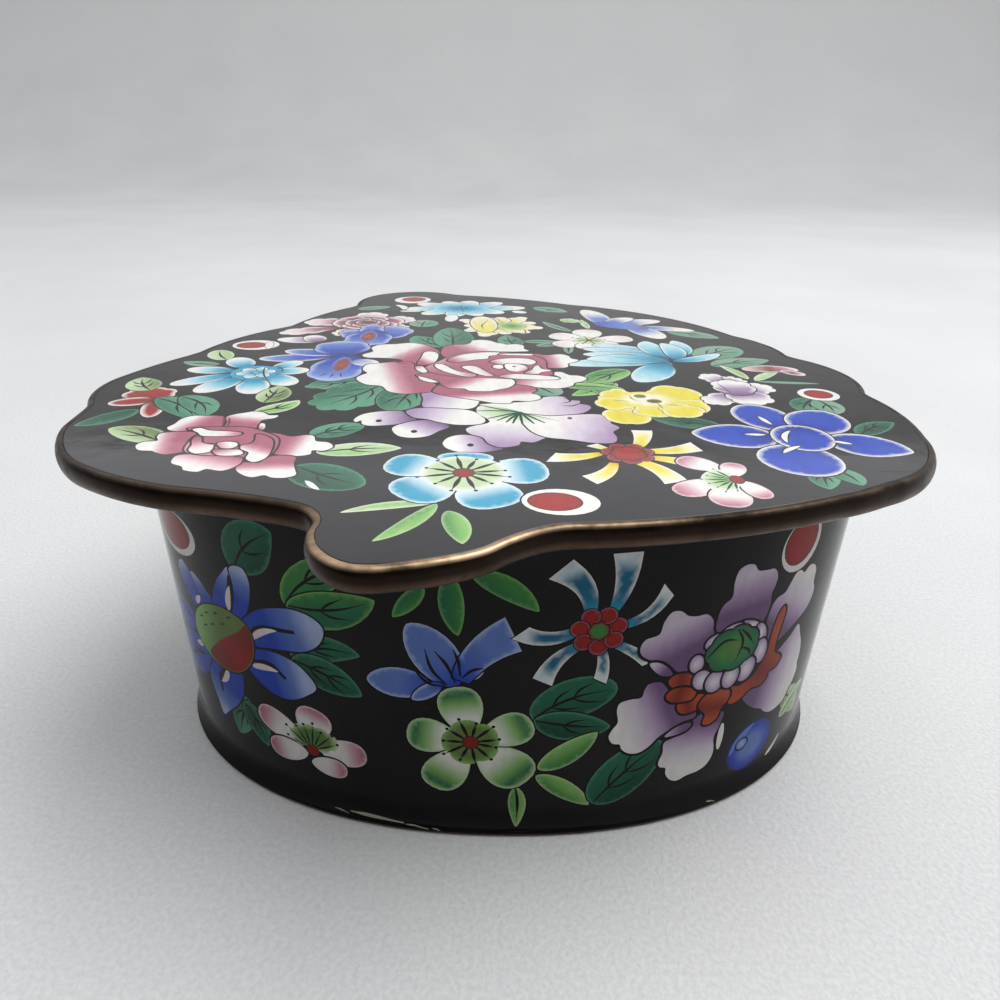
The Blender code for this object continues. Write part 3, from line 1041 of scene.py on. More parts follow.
def far_blue(work):
    pale = ((0, "periwinkle"), (0.4, "periwinkle"), (0.75, "white"), (1, "white"))
    petals = (
        (21.5, 32, 18.6, 45.8, 5, -0.6),
        (23.5, 32, 33.2, 36.2, 4.6, 0.8),
        (22, 33, 28, 38.4, 3.8, 0.6),
        (26.5, 30.5, 38.4, 28.2, 3.6, 0.4),
        (26, 31, 30.8, 21.4, 5.2, 0.6),
    )
    work.petals(petals, pale, end=0.48)
    work.petals(
        ((19.5, 33.5, 30, 29.8, 5.4),), ((0, "blue"), (0.6, "periwinkle"), (1, "violet")), edge=None,
        end=0.5, ink=0,
    )


def left_buds(work):
    work.petals(
        ((-48.4, -19.2, -48.2, -13, 7.2),), ((0, "brick"), (0.6, "red"), (1, "red")), root=0.45, end=0.4,
        lobes=7, depth=0.4, edge_width=0.8,
    )
    work.petals(
        ((-46.2, -18.4, -52.2, -20.4, 3.6), (-46.4, -18.6, -44.4, -25.6, 3)),
        ((0, "brick"), (0.7, "red"), (1, "red")), edge_width=0.8,
    )
    bud(work, (-41.4, 12), 4, 3.3, 0, (-0.7, -0.2), 0.64)
    work.petals(((-39.6, 14.6, -38.6, 9.6, 1.4),), PLAIN_WHITE, ink=0.1)
    bud(work, (-18.6, 53.2), 4, 3.6, 20, (0.2, 0.6), 0.66)
    work.petals(((-21.6, 47.5, -19.4, 43, 1.6, 0.8), (-20, 41.4, -15.6, 41.8, 1.4)), PLAIN_WHITE)


def lid_leaves_behind(work):
    leaf = work.leaf
    leaf((-20, -7.2), (-27.5, -11.2), 5.2, "mid", 0.4, 3, lobes=7)
    leaf((-16, -8.5), (-23.8, -20.6), 9.6, "mid", 0.6, 3, root=0.5, end=0.45, lobes=11, depth=0.8)
    leaf((-10.5, -9.5), (-13.2, -21.6), 7.6, "mid", -0.6, 3, root=0.5, end=0.6)
    leaf((-9, 13), (-14.6, 20.4), 6, "mid", 0.4, 3)
    leaf((-7.2, 12), (-8.8, 27.2), 7.4, "mid", -0.5, 3, root=0.5, end=0.6)
    leaf((4, 14), (2.2, 22.2), 4.6, "mid", 0.3, 2)
    leaf((7.5, 14.5), (13.2, 17), 2.6, "grey", 0.3, 1)
    leaf((5.2, 17.6), (11.6, 18), 2.4, "grey", 0, 1)
    leaf((13.2, 15.5), (12.8, 9.8), 1.8, "grey", 0, 1)
    leaf((-14.2, 27.6), (-13.8, 33.6), 5.8, "grey", 0, 2, root=0.5, end=0.5)
    leaf((14.6, 26), (9.4, 34), 2.2, "grey", 0.4, 1)
    leaf((18, 28.6), (17.2, 36.2), 1.6, "pale", 0, 0)
    leaf((13, 36.2), (17, 34.2), 3.4, "pale", 0, 0, lobes=7, depth=0.5)
    leaf((33, 27.4), (41.8, 22.6), 5.2, "grey", 0.4, 2)
    leaf((35, 8.6), (43.4, 15.6), 7.6, "grey", 0.4, 3, root=0.5, end=0.5)
    leaf((36, 3.6), (46.6, 8), 5.4, "grey", 0.4, 2)
    leaf((8, 47.4), (15, 43.2), 4.6, "grey", 0, 2)
    leaf((-29, 42.6), (-22.4, 45.6), 3.6, "grey", 0, 1)
    leaf((21.6, 0.4), (14.4, -7.8), 5.4, "light", -0.6, 2, root=0.5, end=0.6)
    leaf((18.8, -6.8), (11.6, -13.4), 3.6, "light", 0.4, 1)
    leaf((15.2, -7.4), (17.8, -13.8), 4, "light", 0.3, 1)
    leaf((10.2, -8.6), (19.6, -9.8), 3.4, "light", 0.4, 1)
    leaf((6.4, -9), (9.6, -13.4), 4.8, "grey", 0, 1, root=0.5, end=0.5)


def lid_leaves(work):
    leaf = work.leaf
    leaf((-5.2, -49.6), (-14.4, -52.2), 1.7, "pale", -0.5, 0)
    leaf((-5, -49.8), (-10.3, -58), 2.1, "light", 0.5, 0)
    leaf((-3.8, -51.4), (-1.9, -58.2), 2.7, "light", 0.3, 0)
    leaf((-46.6, -17.6), (-38, -26.4), 5, "mid", 1, 2)
    leaf((-43.6, -16.8), (-37.4, -24.8), 4.6, "mid", 1.2, 2)
    leaf((-47.2, -22.6), (-52.4, -29.2), 4, "dark", 0.4, 1)
    leaf((-39.6, -34), (-47.6, -29.8), 4.6, "olive", -0.5, 2, root=0.5, end=0.6)
    leaf((-49, -14.2), (-52.6, -8.2), 5, "olive", 0.4, 3)
    leaf((-31.4, -18.8), (-31.2, -11.2), 4.8, "olive", -0.4, 3)
    leaf((-31.6, -22.8), (-26.8, -17.6), 3.6, "pale", -0.8, 2)
    leaf((-43.4, 2.4), (-46.4, 8.2), 4.2, "pale", 0.4, 1, root=0.5, end=0.5)
    leaf((-43.6, -0.4), (-49.8, 0.8), 2.8, "grey", 0.4, 1)
    leaf((-21.8, -31.4), (-16, -27.2), 4.8, "mid", 0.5, 3, root=0.5, end=0.6)
    leaf((-20.2, -36.6), (-10.4, -34.8), 4.2, "pale", 0.4, 2)
    leaf((-21.6, -40.6), (-13, -45.6), 6.4, "dark", -0.6, 2, root=0.5, end=0.55)
    work.area(crescent((-17.2, -43.4), 2.6, 3.6, 200, 262, 0.8), "white")
    leaf((30.2, -24.6), (21.6, -22), 4.4, "dark", 0.6, 2)
    leaf((47.4, -27.6), (54, -22.6), 3.6, "dark", 0.5, 3)
    leaf((38.8, -38.8), (37.2, -44.6), 3.6, "mid", -0.4, 2)
    leaf((39.6, -38.8), (41.2, -43.4), 3.2, "mid", 0.4, 1)
    leaf((46.6, -12.8), (43.2, -18.8), 4.2, "mid", -0.5, 2)
    leaf((47, -13.2), (47.4, -19.6), 4.4, "grey", 0.4, 2)
    leaf((39.8, -3.6), (37.2, 4.2), 1.8, "pale", -0.4, 0)
    leaf((40.8, -4.4), (46, 1.2), 2, "pale", 0.3, 0)
    leaf((41, -4.8), (50.4, -5.4), 1.2, "grey", 0, 0)
    work.petals(
        ((40.4, 1.8, 49.6, 2, 4, 0.6), (46.4, 1.6, 49.8, -0.8, 2.4)),
        ((0, "blush"), (0.5, "brick"), (0.8, "pink"), (1, "white")), end=0.5,
    )


def paint_lid():
    work = Painting()
    lid_leaves_behind(work)
    far_pink(work)
    far_daisy(work)
    far_chrysanthemum(work)
    far_blue(work)
    far_prunus(work)
    irises(work)
    left_daisy(work)
    left_buds(work)
    lid_leaves(work)
    turquoise_side(work)
    lilac_bloom(work)
    centre_peony(work)
    side_peony(work)
    yellow_blossom(work)
    lilac_bell(work)
    bud(work, (48.2, -10.8), 3, 2.9, 10, (0, 0.1))
    royal_flower(work)
    prunus(
        work, (-2.6, -41.8),
        ((90, 6, 6.6), (8, 9.6, 7.2), (297, 9.6, 7.2), (226, 9.2, 7.4), (162, 9.4, 6.4)), TURQUOISE, 4.7,
        12, seed_size=1.2, thick=0.55, edge="ice",
    )
    yellow_pinwheel(work)
    small_prunus(work)
    bud(work, (7.8, -48.8), 4.1, 3.1, -4, (-0.6, 0), 0.7)
    return work


# The wall's flowers

LILAC_PETAL = ((0, "violet"), (0.3, "violet"), (0.55, "lilac"), (0.85, "lilac pale"), (1, "white"))
GREEN_PETAL = ((0, "white"), (0.35, "white"), (0.65, "lime"), (0.85, "leaf"), (1, "lime"))
TEAL_STRAP = ((0, "turquoise"), (0.3, "teal"), (0.7, "teal"), (0.92, "ice"), (1, "mist"))
STAR_BLUE = ((0, "blue"), (0.35, "blue"), (0.75, "periwinkle"), (1, "mist"))
ORCHID_LILAC = ((0, "violet"), (0.2, "violet"), (0.5, "lilac"), (0.85, "lilac pale"), (1, "lilac pale"))
ORCHID_WHITE = ((0, "violet"), (0.25, "lilac"), (0.55, "lilac pale"), (1, "white"))


def blue_star(work):
    """Blue petals with a dark fold and a pale slip in each, round a heart, green above and red below."""
    petals = (
        (STAR_BLUE, (-41, 28), (-42, 32.6), (
            (-43, 28), (-42.6, 30), (-43.4, 31.6), (-43, 32.8), (-41.4, 32.3), (-40, 31), (-38.6, 29.6),
            (-40, 28),
        )),
        (STAR_BLUE, (-43.4, 28), (-46, 33), (
            (-44, 27), (-45.8, 29), (-47, 31), (-46.6, 32.8), (-45.2, 33.6), (-43.8, 32.8), (-43, 31),
            (-42.4, 28.6),
        )),
        (STAR_BLUE, (-46, 24), (-57, 24.6), (
            (-45, 25), (-48, 26.4), (-52, 26.8), (-56, 26.6), (-59, 25), (-56, 22.6), (-52, 21.4),
            (-48, 21.6), (-45, 22.6),
        )),
        (STAR_BLUE, (-43.6, 19.4), (-54, 14.4), (
            (-43, 21), (-46, 21.4), (-50, 20.4), (-54, 17.6), (-57, 14.4), (-54, 12.8), (-50, 13.2),
            (-46.4, 14.2), (-43.8, 16.4), (-42, 19),
        )),
        (STAR_BLUE, (-38.6, 19), (-42.4, 10.4), (
            (-36, 20), (-35.7, 18), (-36.4, 15.4), (-38.2, 12.9), (-40.4, 10.9), (-42.5, 9.1),
            (-43.2, 11.4), (-44.1, 14.2), (-43.8, 16.4), (-42.4, 18.6), (-40, 20.4),
        )),
        (STAR_BLUE, (-37.6, 29.6), (-35, 36), (
            (-39, 29), (-38.4, 31.4), (-37.2, 33.6), (-35.6, 35.4), (-34.5, 36.4), (-34.4, 34.6),
            (-35.2, 32.4), (-36, 30.4), (-36.4, 28.6),
        )),
        (STAR_BLUE, (-34.2, 29.6), (-32.8, 36.4), (
            (-35.2, 29), (-34.4, 31.6), (-34.1, 34), (-34.3, 36.2), (-33.2, 37), (-31.8, 36.9),
            (-31.2, 35.2), (-31.5, 33), (-32.2, 31), (-33.6, 28.8),
        )),
        (STAR_BLUE, (-32.6, 27.4), (-23, 31), (
            (-34, 28), (-32, 30.4), (-30, 31.7), (-27.6, 32.5), (-25.2, 32.9), (-22.8, 32.4), (-21.4, 31.2),
            (-21.5, 29.6), (-22.6, 28), (-24.6, 26.8), (-27.2, 26.3), (-29.8, 25.9), (-32, 25.6),
        )),
        (STAR_BLUE, (-32.4, 21.4), (-25, 22.6), (
            (-33, 24.4), (-31, 25.2), (-28.6, 25.4), (-26.2, 24.8), (-24.4, 23.4), (-23.3, 21.4),
            (-25, 19.7), (-27, 18.5), (-29.2, 18.2), (-31.6, 19), (-34, 21), (-35, 22.6),
        )),
    )
    work.forms(petals)
    for line in (
        ((-33.2, 26.8), (-30.4, 28.8), (-25.4, 29.5)),
        ((-33, 22.8), (-30, 23.2), (-27.8, 21.6)),
        ((-39.2, 19), (-41, 16.6), (-41.2, 13.9)),
        ((-36.3, 29.2), (-35.4, 31.6), (-34.5, 35.2)),
        ((-46.4, 24), (-50, 25), (-53, 24.6)),
        ((-44.4, 18.8), (-47.4, 17.8), (-50, 16)),
    ):
        work.stroke(line, 0.75, thin_start=0.6, thin_end=0.7)
    for base, tip, bow in (
        ((-32.4, 26.4), (-28, 29), 0.5),
        ((-33.2, 21.8), (-28.8, 22.4), 0.3),
        ((-38.8, 18.8), (-41, 15.8), 0.4),
        ((-35.8, 29.6), (-34.8, 33.6), 0.2),
        ((-43.4, 27.8), (-42, 29.4), 0),
        ((-44.2, 20.6), (-46.4, 19.8), 0),
    ):
        work.petal(base, tip, 1, even("blush", "white"), bow=bow, end=0.8, edge=None, ink=0)
    heart = (
        (-45.4, 22.6), (-44.9, 24.8), (-43.4, 26.9), (-41, 28.5), (-38, 29.4), (-35.4, 29.3), (-33.2, 28.4),
        (-32.3, 26.6), (-32.6, 23.9), (-34, 21.3), (-36.4, 19.4), (-39.2, 18.8), (-42, 19.2), (-44.4, 20.8),
    )
    work.forms(((even("olive", "olive", "lime"), (-35, 25), (-43, 27), heart),))
    lower = (
        (-33.2, 28.2), (-34.6, 26.8), (-36.6, 25.4), (-38.8, 23.8), (-40.8, 22), (-42.4, 20.2),
        (-41.6, 19.3), (-39.2, 18.9), (-36.4, 19.5), (-34.1, 21.4), (-32.7, 23.9), (-32.4, 26.6),
    )
    loop = curve(lower, 4, closed=True)
    work.area(loop, petal_paint(loop, (-40, 20), (-33, 26), even("brick", "red", "brick"), None, 0, 0), ())
    for place in (
        (-43.2, 25.6), (-42.6, 24.4), (-41.6, 26.8), (-40.6, 25.4), (-39.4, 27.6), (-38.2, 26.4),
        (-36.6, 28),
    ):
        work.stroke(
            (place, (place[0] + 0.5, place[1] + 0.4), (place[0] + 1.1, place[1] + 0.5)), 0.34, "deep leaf",
        )


def bead_peony(work):
    petals = (
        (ORCHID_LILAC, (22.8, 27), (20, 33.2), (
            (16.8, 29.8), (17.4, 31), (19, 31.5), (19.4, 33.2), (20.2, 34.5), (21.4, 34.5), (22.4, 33.7),
            (23.6, 33.4), (25, 33.4), (26, 32.4), (26.3, 31), (27, 29), (26, 26), (23, 25), (20.4, 27),
            (18.4, 27.8), (17.2, 28.6),
        )),
        (ORCHID_LILAC, (31, 31.4), (30.4, 38.8), (
            (26.8, 30.6), (26.7, 33), (27.2, 34.3), (28.2, 35.2), (28.1, 37.2), (28.4, 38.8), (29.4, 39.4),
            (30.6, 39.2), (31.4, 38.2), (32.8, 37.9), (34.2, 37.7), (35, 36.4), (34.9, 35), (34.6, 34),
            (34.8, 32.4), (34.3, 30.4), (32.6, 29), (29, 29),
        )),
        (ORCHID_WHITE, (38.4, 27.6), (42.6, 34.4), (
            (35, 29), (35.1, 31.4), (35.8, 32.9), (37.2, 33.4), (37.9, 34.6), (38.6, 35.8), (39.6, 35.9),
            (40.4, 35.3), (41.4, 36), (42.6, 35.7), (43.4, 34.6), (43.6, 32.8), (44.3, 31.4), (44.2, 29.8),
            (43.2, 28.4), (41.4, 27.4), (39, 26), (36.6, 25.4),
        )),
        (ORCHID_WHITE, (36.4, 18), (45, 16.4), (
            (37, 21), (38.4, 23.4), (39.6, 24.4), (41, 25.4), (42.4, 26.6), (43.6, 24.6), (44.7, 22.6),
            (45.3, 20.4), (45.3, 18.8), (45.8, 17.4), (45.4, 15.6), (44.5, 14.4), (43.8, 13), (42.4, 12.5),
            (40.8, 12.4), (39.2, 13.1), (38, 14.2), (36.6, 14.9), (35, 16.1), (33.6, 17.8), (33.6, 19.4),
        )),
        (ORCHID_WHITE, (27.4, 15.6), (26, 8.4), (
            (25.8, 16.8), (28, 17.6), (30.6, 16.6), (30.4, 14.4), (29.8, 12.4), (30.2, 10.4), (30.1, 8.8),
            (29.3, 7.5), (28, 6.9), (26.4, 6.7), (25, 6.2), (23.8, 6.7), (23, 7.9), (22.8, 9.1),
            (21.9, 9.5), (21.6, 10.4), (22, 12), (22, 13.8), (23.6, 14.4), (25.2, 15.2),
        )),
        (ORCHID_WHITE, (21.6, 19.6), (15.6, 17), (
            (18.6, 24.1), (20.2, 24.1), (21.4, 22.6), (23, 20.6), (25.4, 19), (26, 17.2), (24, 16.8),
            (22, 15.7), (20.8, 14.8), (19.8, 13.6), (18.4, 12.8), (17, 13), (16, 13.9), (15.7, 14.7),
            (14.7, 15), (14.1, 16.2), (14.5, 17.4), (15.1, 18.5), (14.8, 20.4), (15.1, 21.6), (16.4, 22),
            (17.8, 22.1), (18.1, 23.2),
        )),
        (
            ORCHID_LILAC, (21, 25.4), (18.6, 27.2),
            ((18.3, 27.3), (19.6, 27.2), (20.9, 26.2), (21.6, 25), (20.2, 25.1), (19, 26.1)),
        ),
        (
            ORCHID_LILAC, (25, 15.8), (21, 15),
            ((21.9, 14.8), (23, 15.9), (24.6, 16.4), (25.6, 16.2), (25.2, 15.3), (23.8, 14.8)),
        ),
    )
    work.forms(petals, ink=0.4)
    ember = even("orange", "brick", "orange")
    petals = (
        (
            ember, (25, 24), (21, 24),
            ((21.2, 24.1), (22, 24.9), (23.4, 24.9), (24.4, 24.4), (24.6, 23), (23, 22.6), (21.8, 23)),
        ),
        (ember, (31, 19), (38, 27), (
            (30.6, 20.8), (32.4, 20.4), (34.4, 21.2), (35.8, 23), (36.4, 25), (36.5, 27.4), (37, 30.2),
            (37.8, 31.2), (38.3, 30), (38, 27.6), (37.8, 25.4), (38.1, 23.8), (39.2, 23), (39.8, 22.2),
            (39.2, 21.1), (37.7, 20.8), (37.5, 19.7), (36.4, 19), (34.6, 19.1), (33, 17.9), (31.4, 17.7),
            (30.6, 19),
        )),
        (
            ember, (26, 20), (23, 19),
            ((23, 19.5), (23.4, 20.5), (25.2, 21), (26.8, 20.6), (26.6, 18.9), (25.4, 18.2), (23.8, 18.3)),
        ),
        (
            ember, (25, 21), (21, 22),
            ((21.2, 21.6), (21.9, 22.6), (23.8, 22.6), (25.4, 21.6), (25, 20.4), (23.6, 20.3), (22, 20.6)),
        ),
        (ember, (29, 20), (28, 16), (
            (26.2, 18.8), (27, 20.4), (29, 20.8), (30.8, 20.2), (31, 18.8), (30, 17.3), (29.6, 15.9),
            (28.4, 15.2), (27.4, 15.6), (27.5, 17.2),
        )),
    )
    work.forms(petals, ink=0.36)
    bead = even("white", "lilac pale", "lilac")
    for x, z, wide, high, turn in (
        (27, 28.9, 1.5, 1.1, 20),
        (32.2, 29.9, 2.2, 0.8, -25),
        (29.2, 30.2, 1.6, 0.7, 15),
        (34.3, 28.2, 0.9, 1.8, 24),
        (24.8, 26, 1, 1.4, 8),
        (35, 25.2, 1.1, 2, 8),
        (26, 23.2, 1.3, 1.6, 25),
        (33, 22.9, 1.4, 1.9, -14),
        (28, 22.4, 1.4, 1.7, 6),
        (30.5, 22.5, 1.3, 1.8, -4),
    ):
        work.disc((x, z), wide, high, bead, turn=turn, ink=0.34)
    work.disc((30, 27.1), 4, 3.3, even("olive", "green", "leaf"), lobes=7, depth=0.35, ink=0.3)
    for line in (
        ((26.2, 26.6), (28.4, 28.6), (30.8, 28.2)),
        ((30.2, 30), (31.4, 27.6), (30.6, 24.6)),
        ((31.2, 27), (32.6, 26.2), (33.2, 25)),
        ((30.8, 29.8), (32.2, 28.4), (33.4, 26.8)),
    ):
        work.stroke(line, 0.42)


def paint_front(work):
    leaf = work.leaf
    leaf((-33.4, 36.4), (-26.6, 43.2), 7, "dark", 0.8, 2)
    leaf((-26.2, 33.6), (-16, 40.6), 5, "fresh", 1.2, 2)
    leaf((-26, 33.4), (-14.4, 36.2), 5.4, "fresh", -1, 2)
    leaf((-26.4, 25.6), (-16.8, 27.8), 4, "dark", 1.2, 2)
    leaf((-26.4, 25.2), (-17, 21.6), 5, "dark", 0.4, 3)
    leaf((-35.4, 15.4), (-38.8, 7.6), 4.6, "mid", -0.3, 2)
    leaf((-36.4, 14.6), (-33, 8), 4.2, "dark", 0.4, 2)
    leaf((-8.6, 38.6), (-12.4, 34.2), 2.2, "fresh", 0, 0)
    leaf((-5.6, 40.4), (-4.8, 32.2), 3, "fresh", -0.3, 0)
    leaf((-3.2, 40.6), (4.4, 35.8), 3, "fresh", 0.7, 0)
    leaf((4.2, 19.8), (14.6, 24), 6.2, "dark", 1, 3, root=0.5, end=0.5)
    leaf((4.4, 19.6), (14.2, 18), 4.6, "dark", -0.4, 2)
    leaf((5.2, 11.4), (12.6, 17.2), 3.6, "light", -0.3, 0)
    leaf((5, 10.2), (12.4, 4.4), 3, "light", 0.3, 0)
    leaf((2.4, 8.2), (2.6, 1.6), 2.4, "light", 0.2, 1)
    leaf((12.8, 4.6), (21.6, 14.2), 7.4, "dark", 0.3, 3, root=0.5, end=0.55)
    leaf((43.2, 14.2), (49.6, 8), 4.4, "olive", 0.5, 2)
    leaf((44, 9.6), (50.4, 13), 3.4, "pale", 0.4, 1)
    blue_star(work)
    bud(work, (-45.6, 37.6), 5.4, 3.2, 8, (-0.4, 0.35), 0.86)
    petals = (
        (-26.6, 11.8, -33.6, 14.6, 4.6),
        (-25.4, 12.6, -23.8, 17.8, 5.4),
        (-24, 10.8, -17.2, 11.6, 4.6),
        (-26, 9.6, -32.4, 8.8, 4),
        (-25.6, 8.2, -20.2, 8, 3.4),
    )
    work.petals(petals, BLOOM_PINK, root=0.6, end=0.42, edge="blush", edge_width=0.4, ink=0.3)
    work.disc(
        (-24.8, 12.6), 3.6, 2.2, ((0, "green"), (0.7, "olive"), (1, "pale green")), lobes=9, depth=0.4,
        ink=0,
    )
    stamens(work, (-25.2, 10.4), 28, 158, 0.8, 4.2, 8)
    work.disc((-25.2, 10.3), 1, 0.9, even("red", "brick"), ink=0.08)
    petals = (
        (-8.2, 24.6, -16.2, 24.6, 4.6),
        (-5.2, 24.6, -10.8, 33.4, 5.8, -0.4),
        (-6.8, 25, -10.6, 22.2, 2),
        (-4.4, 25.8, -1.8, 27.4, 1.6),
    )
    work.petals(
        petals, even("blue", "periwinkle", "periwinkle"), root=0.6, end=0.62, edge="mist", edge_width=0.5,
    )
    work.strap(
        (-4.6, 25.6), (1.6, 32.6), 2.2, 5.2, ((0, "blue"), (0.6, "periwinkle"), (1, "periwinkle")), 0.9,
        0.2, "mist",
    )
    for line in (
        ((-8.8, 30), (-8, 27), (-6.2, 24.8)),
        ((-7.6, 29.8), (-6.2, 27.8), (-5.2, 25.2)),
        ((-5.4, 30.2), (-4.8, 28.4), (-4.6, 26.2)),
        ((-10.2, 26.8), (-8.6, 25), (-6.8, 24.6)),
        ((-1.8, 27.6), (-3.2, 27.2), (-4.4, 26)),
    ):
        work.stroke(line, 0.42, thin_start=0.3, thin_end=0.5)
    pinwheel(
        work, (11.5, 32.8),
        (
            (10.3, 35, 6.6, 41.4, 1.2, 3.4, -1.2, 0.6),
            (12.8, 35.2, 14, 43.2, 0.9, 3.4, -0.6, 0.2),
            (14.2, 33.4, 19.4, 37.8, 1, 1.9, -1, 0.6),
            (9.2, 33.2, 2.4, 32.8, 1.2, 2.4, 1, 0.5),
            (10, 31.2, 5.2, 25.6, 1, 2.6, -0.9, 0.3),
            (11.8, 30.8, 12.2, 25.4, 1, 1.8, 0.4, 0.3),
            (13.2, 31, 18.2, 27.4, 1, 1.7, 0.3, 0.4),
        ),
        TEAL_STRAP, 7, 2.3, 1.15, "green", 1.2,
    )
    prunus(
        work, (-3.4, 15.8),
        ((102, 9, 5.6), (172, 8.2, 5.6), (238, 9.6, 5.8), (318, 9.8, 6.8), (24, 8.4, 5.4)), GREEN_PETAL,
        3.6, 11, seed_size=1, hearts=GREEN_HEART, thick=0.46, edge="pale green",
    )
    bead_peony(work)
    work.petals(((30.9, 14.6, 31, 9.8, 1),), PLAIN_WHITE, ink=0)
    work.disc(
        (37.6, 7.8), 4.5, 4.4, ((0, "periwinkle"), (0.4, "periwinkle"), (0.75, "blue"), (1, "navy")), 20,
    )
    work.area(crescent((37.9, 8), 4.4, 4, 96, 190, 1.3), "periwinkle")
    work.disc((35.6, 8.9), 1, 0.95, even("mist", "periwinkle"), ink=0.3)
    work.area(crescent((42.8, 6.2), 3, 3, 262, 350, 0.8), "white")
    bud(work, (38.4, 40), 3.6, 3.9, 0, (-0.2, 0.4), 0.84)


def ring_flower(work, middle, count, reach, width, stops, turn, **style):
    """Petals of one kind in a ring round the middle."""
    middle = np.array(middle, float)
    for i in range(count):
        way = toward(turn + 360 * i / count)
        work.petal(middle + way * 0.8, middle + way * reach, width, stops, **style)


def paint_sides(work):
    """The hidden sides and back: the same kinds of flower, fewer and simpler."""
    leaf = work.leaf
    for side in (-1, 1):
        for place, height, reach, turn, tone in (
            (57, 12, 9, 40, "dark"),
            (59, 33, 9, 120, "dark"),
            (75, 9, 8, 160, "light"),
            (73, 40, 8, -30, "light"),
            (90, 27, 9, 60, "dark"),
            (96, 8, 8, 20, "dark"),
            (104, 41, 8, 200, "light"),
            (113, 12, 8, 140, "light"),
            (121, 33, 9, -20, "dark"),
            (130, 8, 8, 30, "dark"),
            (134, 40, 8, 150, "light"),
            (147, 20, 9, 80, "dark"),
        ):
            for spread in (-26, 26):
                angle = math.radians(turn + spread)
                tip = (side * place + reach * math.cos(angle), height + reach * math.sin(angle))
                tip = (tip[0], min(max(tip[1], 4), 45))
                leaf((side * place, height), tip, reach * 0.48, tone, 0.5, 2)
        if side < 0:
            ring_flower(work, (-84, 35), 9, 11.5, 5.2, STAR_BLUE, 15, root=0.5, end=0.56)
            work.disc((-84, 35), 4.2, 3.6, ((0, "olive"), (0.7, "green"), (1, "lime")), lobes=9, depth=0.3)
        else:
            ring_flower(work, (84, 35), 8, 10.5, 5, LILAC_PETAL, 10, lobes=7, depth=0.5, end=0.4)
            work.disc((84, 35), 3.2, 2.8, ((0, "olive"), (0.7, "green"), (1, "lime")), lobes=9, depth=0.3)
        prunus(
            work, (side * 66, 22), [(72 * i + 20, 8.6, 6.2) for i in range(5)],
            BLOOM_PINK if side > 0 else GREEN_PETAL, 3.4, 10,
        )
        prunus(work, (side * 104, 20), [(72 * i + 50, 8.8, 6.4) for i in range(5)], TURQUOISE, 3.6, 10)
        prunus(work, (side * 128, 22), [(72 * i + 80, 8, 5.8) for i in range(5)], BLOOM_PINK, 3.2, 10)
        ring_flower(work, (side * 118, 38), 9, 7.6, 3, DAISY, 0, end=0.45)
        work.disc((side * 118, 38), 1.7, 1.6, even("gold", "olive"))
        ring_flower(work, (side * 84, 12), 9, 7.2, 3, SUNNY, 20, end=0.45)
        work.disc((side * 84, 12), 1.8, 1.6, even("red", "brick"))
        ring_flower(
            work, (side * 143, 33), 6, 8.4, 5.4, LILAC_PETAL if side < 0 else ROYAL, 30, lobes=5, end=0.42,
        )
        work.disc((side * 143, 33), 2, 1.9, even("olive", "green"))
        for place, height in ((55, 24), (95, 42), (73, 6), (117, 6), (136, 12), (53, 43)):
            bud(work, (side * place, height), 2.9, 2.5, 20, (0, 0.2), 0.72)


def worn_foot(work):
    """Pale lines where the enamel is rubbed away above the foot: from, to, height and thickness."""
    for start, end, height, thick in (
        (-22.4, -20.2, 1.5, 0.16), (-20, -12.4, 1.55, 0.42), (-12.2, -9, 1.15, 0.22), (-8.6, -7.2, 1, 0.16),
        (30, 31.4, 1.2, 0.2),
    ):
        middle = start + (end - start) * 0.4
        work.area(
            ribbon(((start, height), (middle, height - 0.05), (end, height - 0.3)), thick, 0.3, 0.4),
            "worn",
        )


def paint_wall():
    work = Painting()
    paint_sides(work)
    paint_front(work)
    worn_foot(work)
    return work


# Surfaces


def top_shape(points, work, boxes):
    """For each point, which shape it shows: the last one painted there, or -1."""
    top = np.full(len(points), -1)
    for i, loop in enumerate(work.loops):
        low, high = boxes[i]
        near = np.flatnonzero(((points > low) & (points < high)).all(axis=1))
        if len(near):
            top[near[inside(points[near], loop)]] = i
    return top


def hexagons(low, high, step):
    """Points in staggered rows over a box."""
    columns = np.arange(low[0], high[0], step)
    grid = [np.empty((0, 2))]
    for i, y in enumerate(np.arange(low[1], high[1], step * 0.866)):
        shift = step / 2 if i % 2 else 0
        grid.append(np.column_stack([columns + shift, np.full(len(columns), y)]))
    return np.vstack(grid)


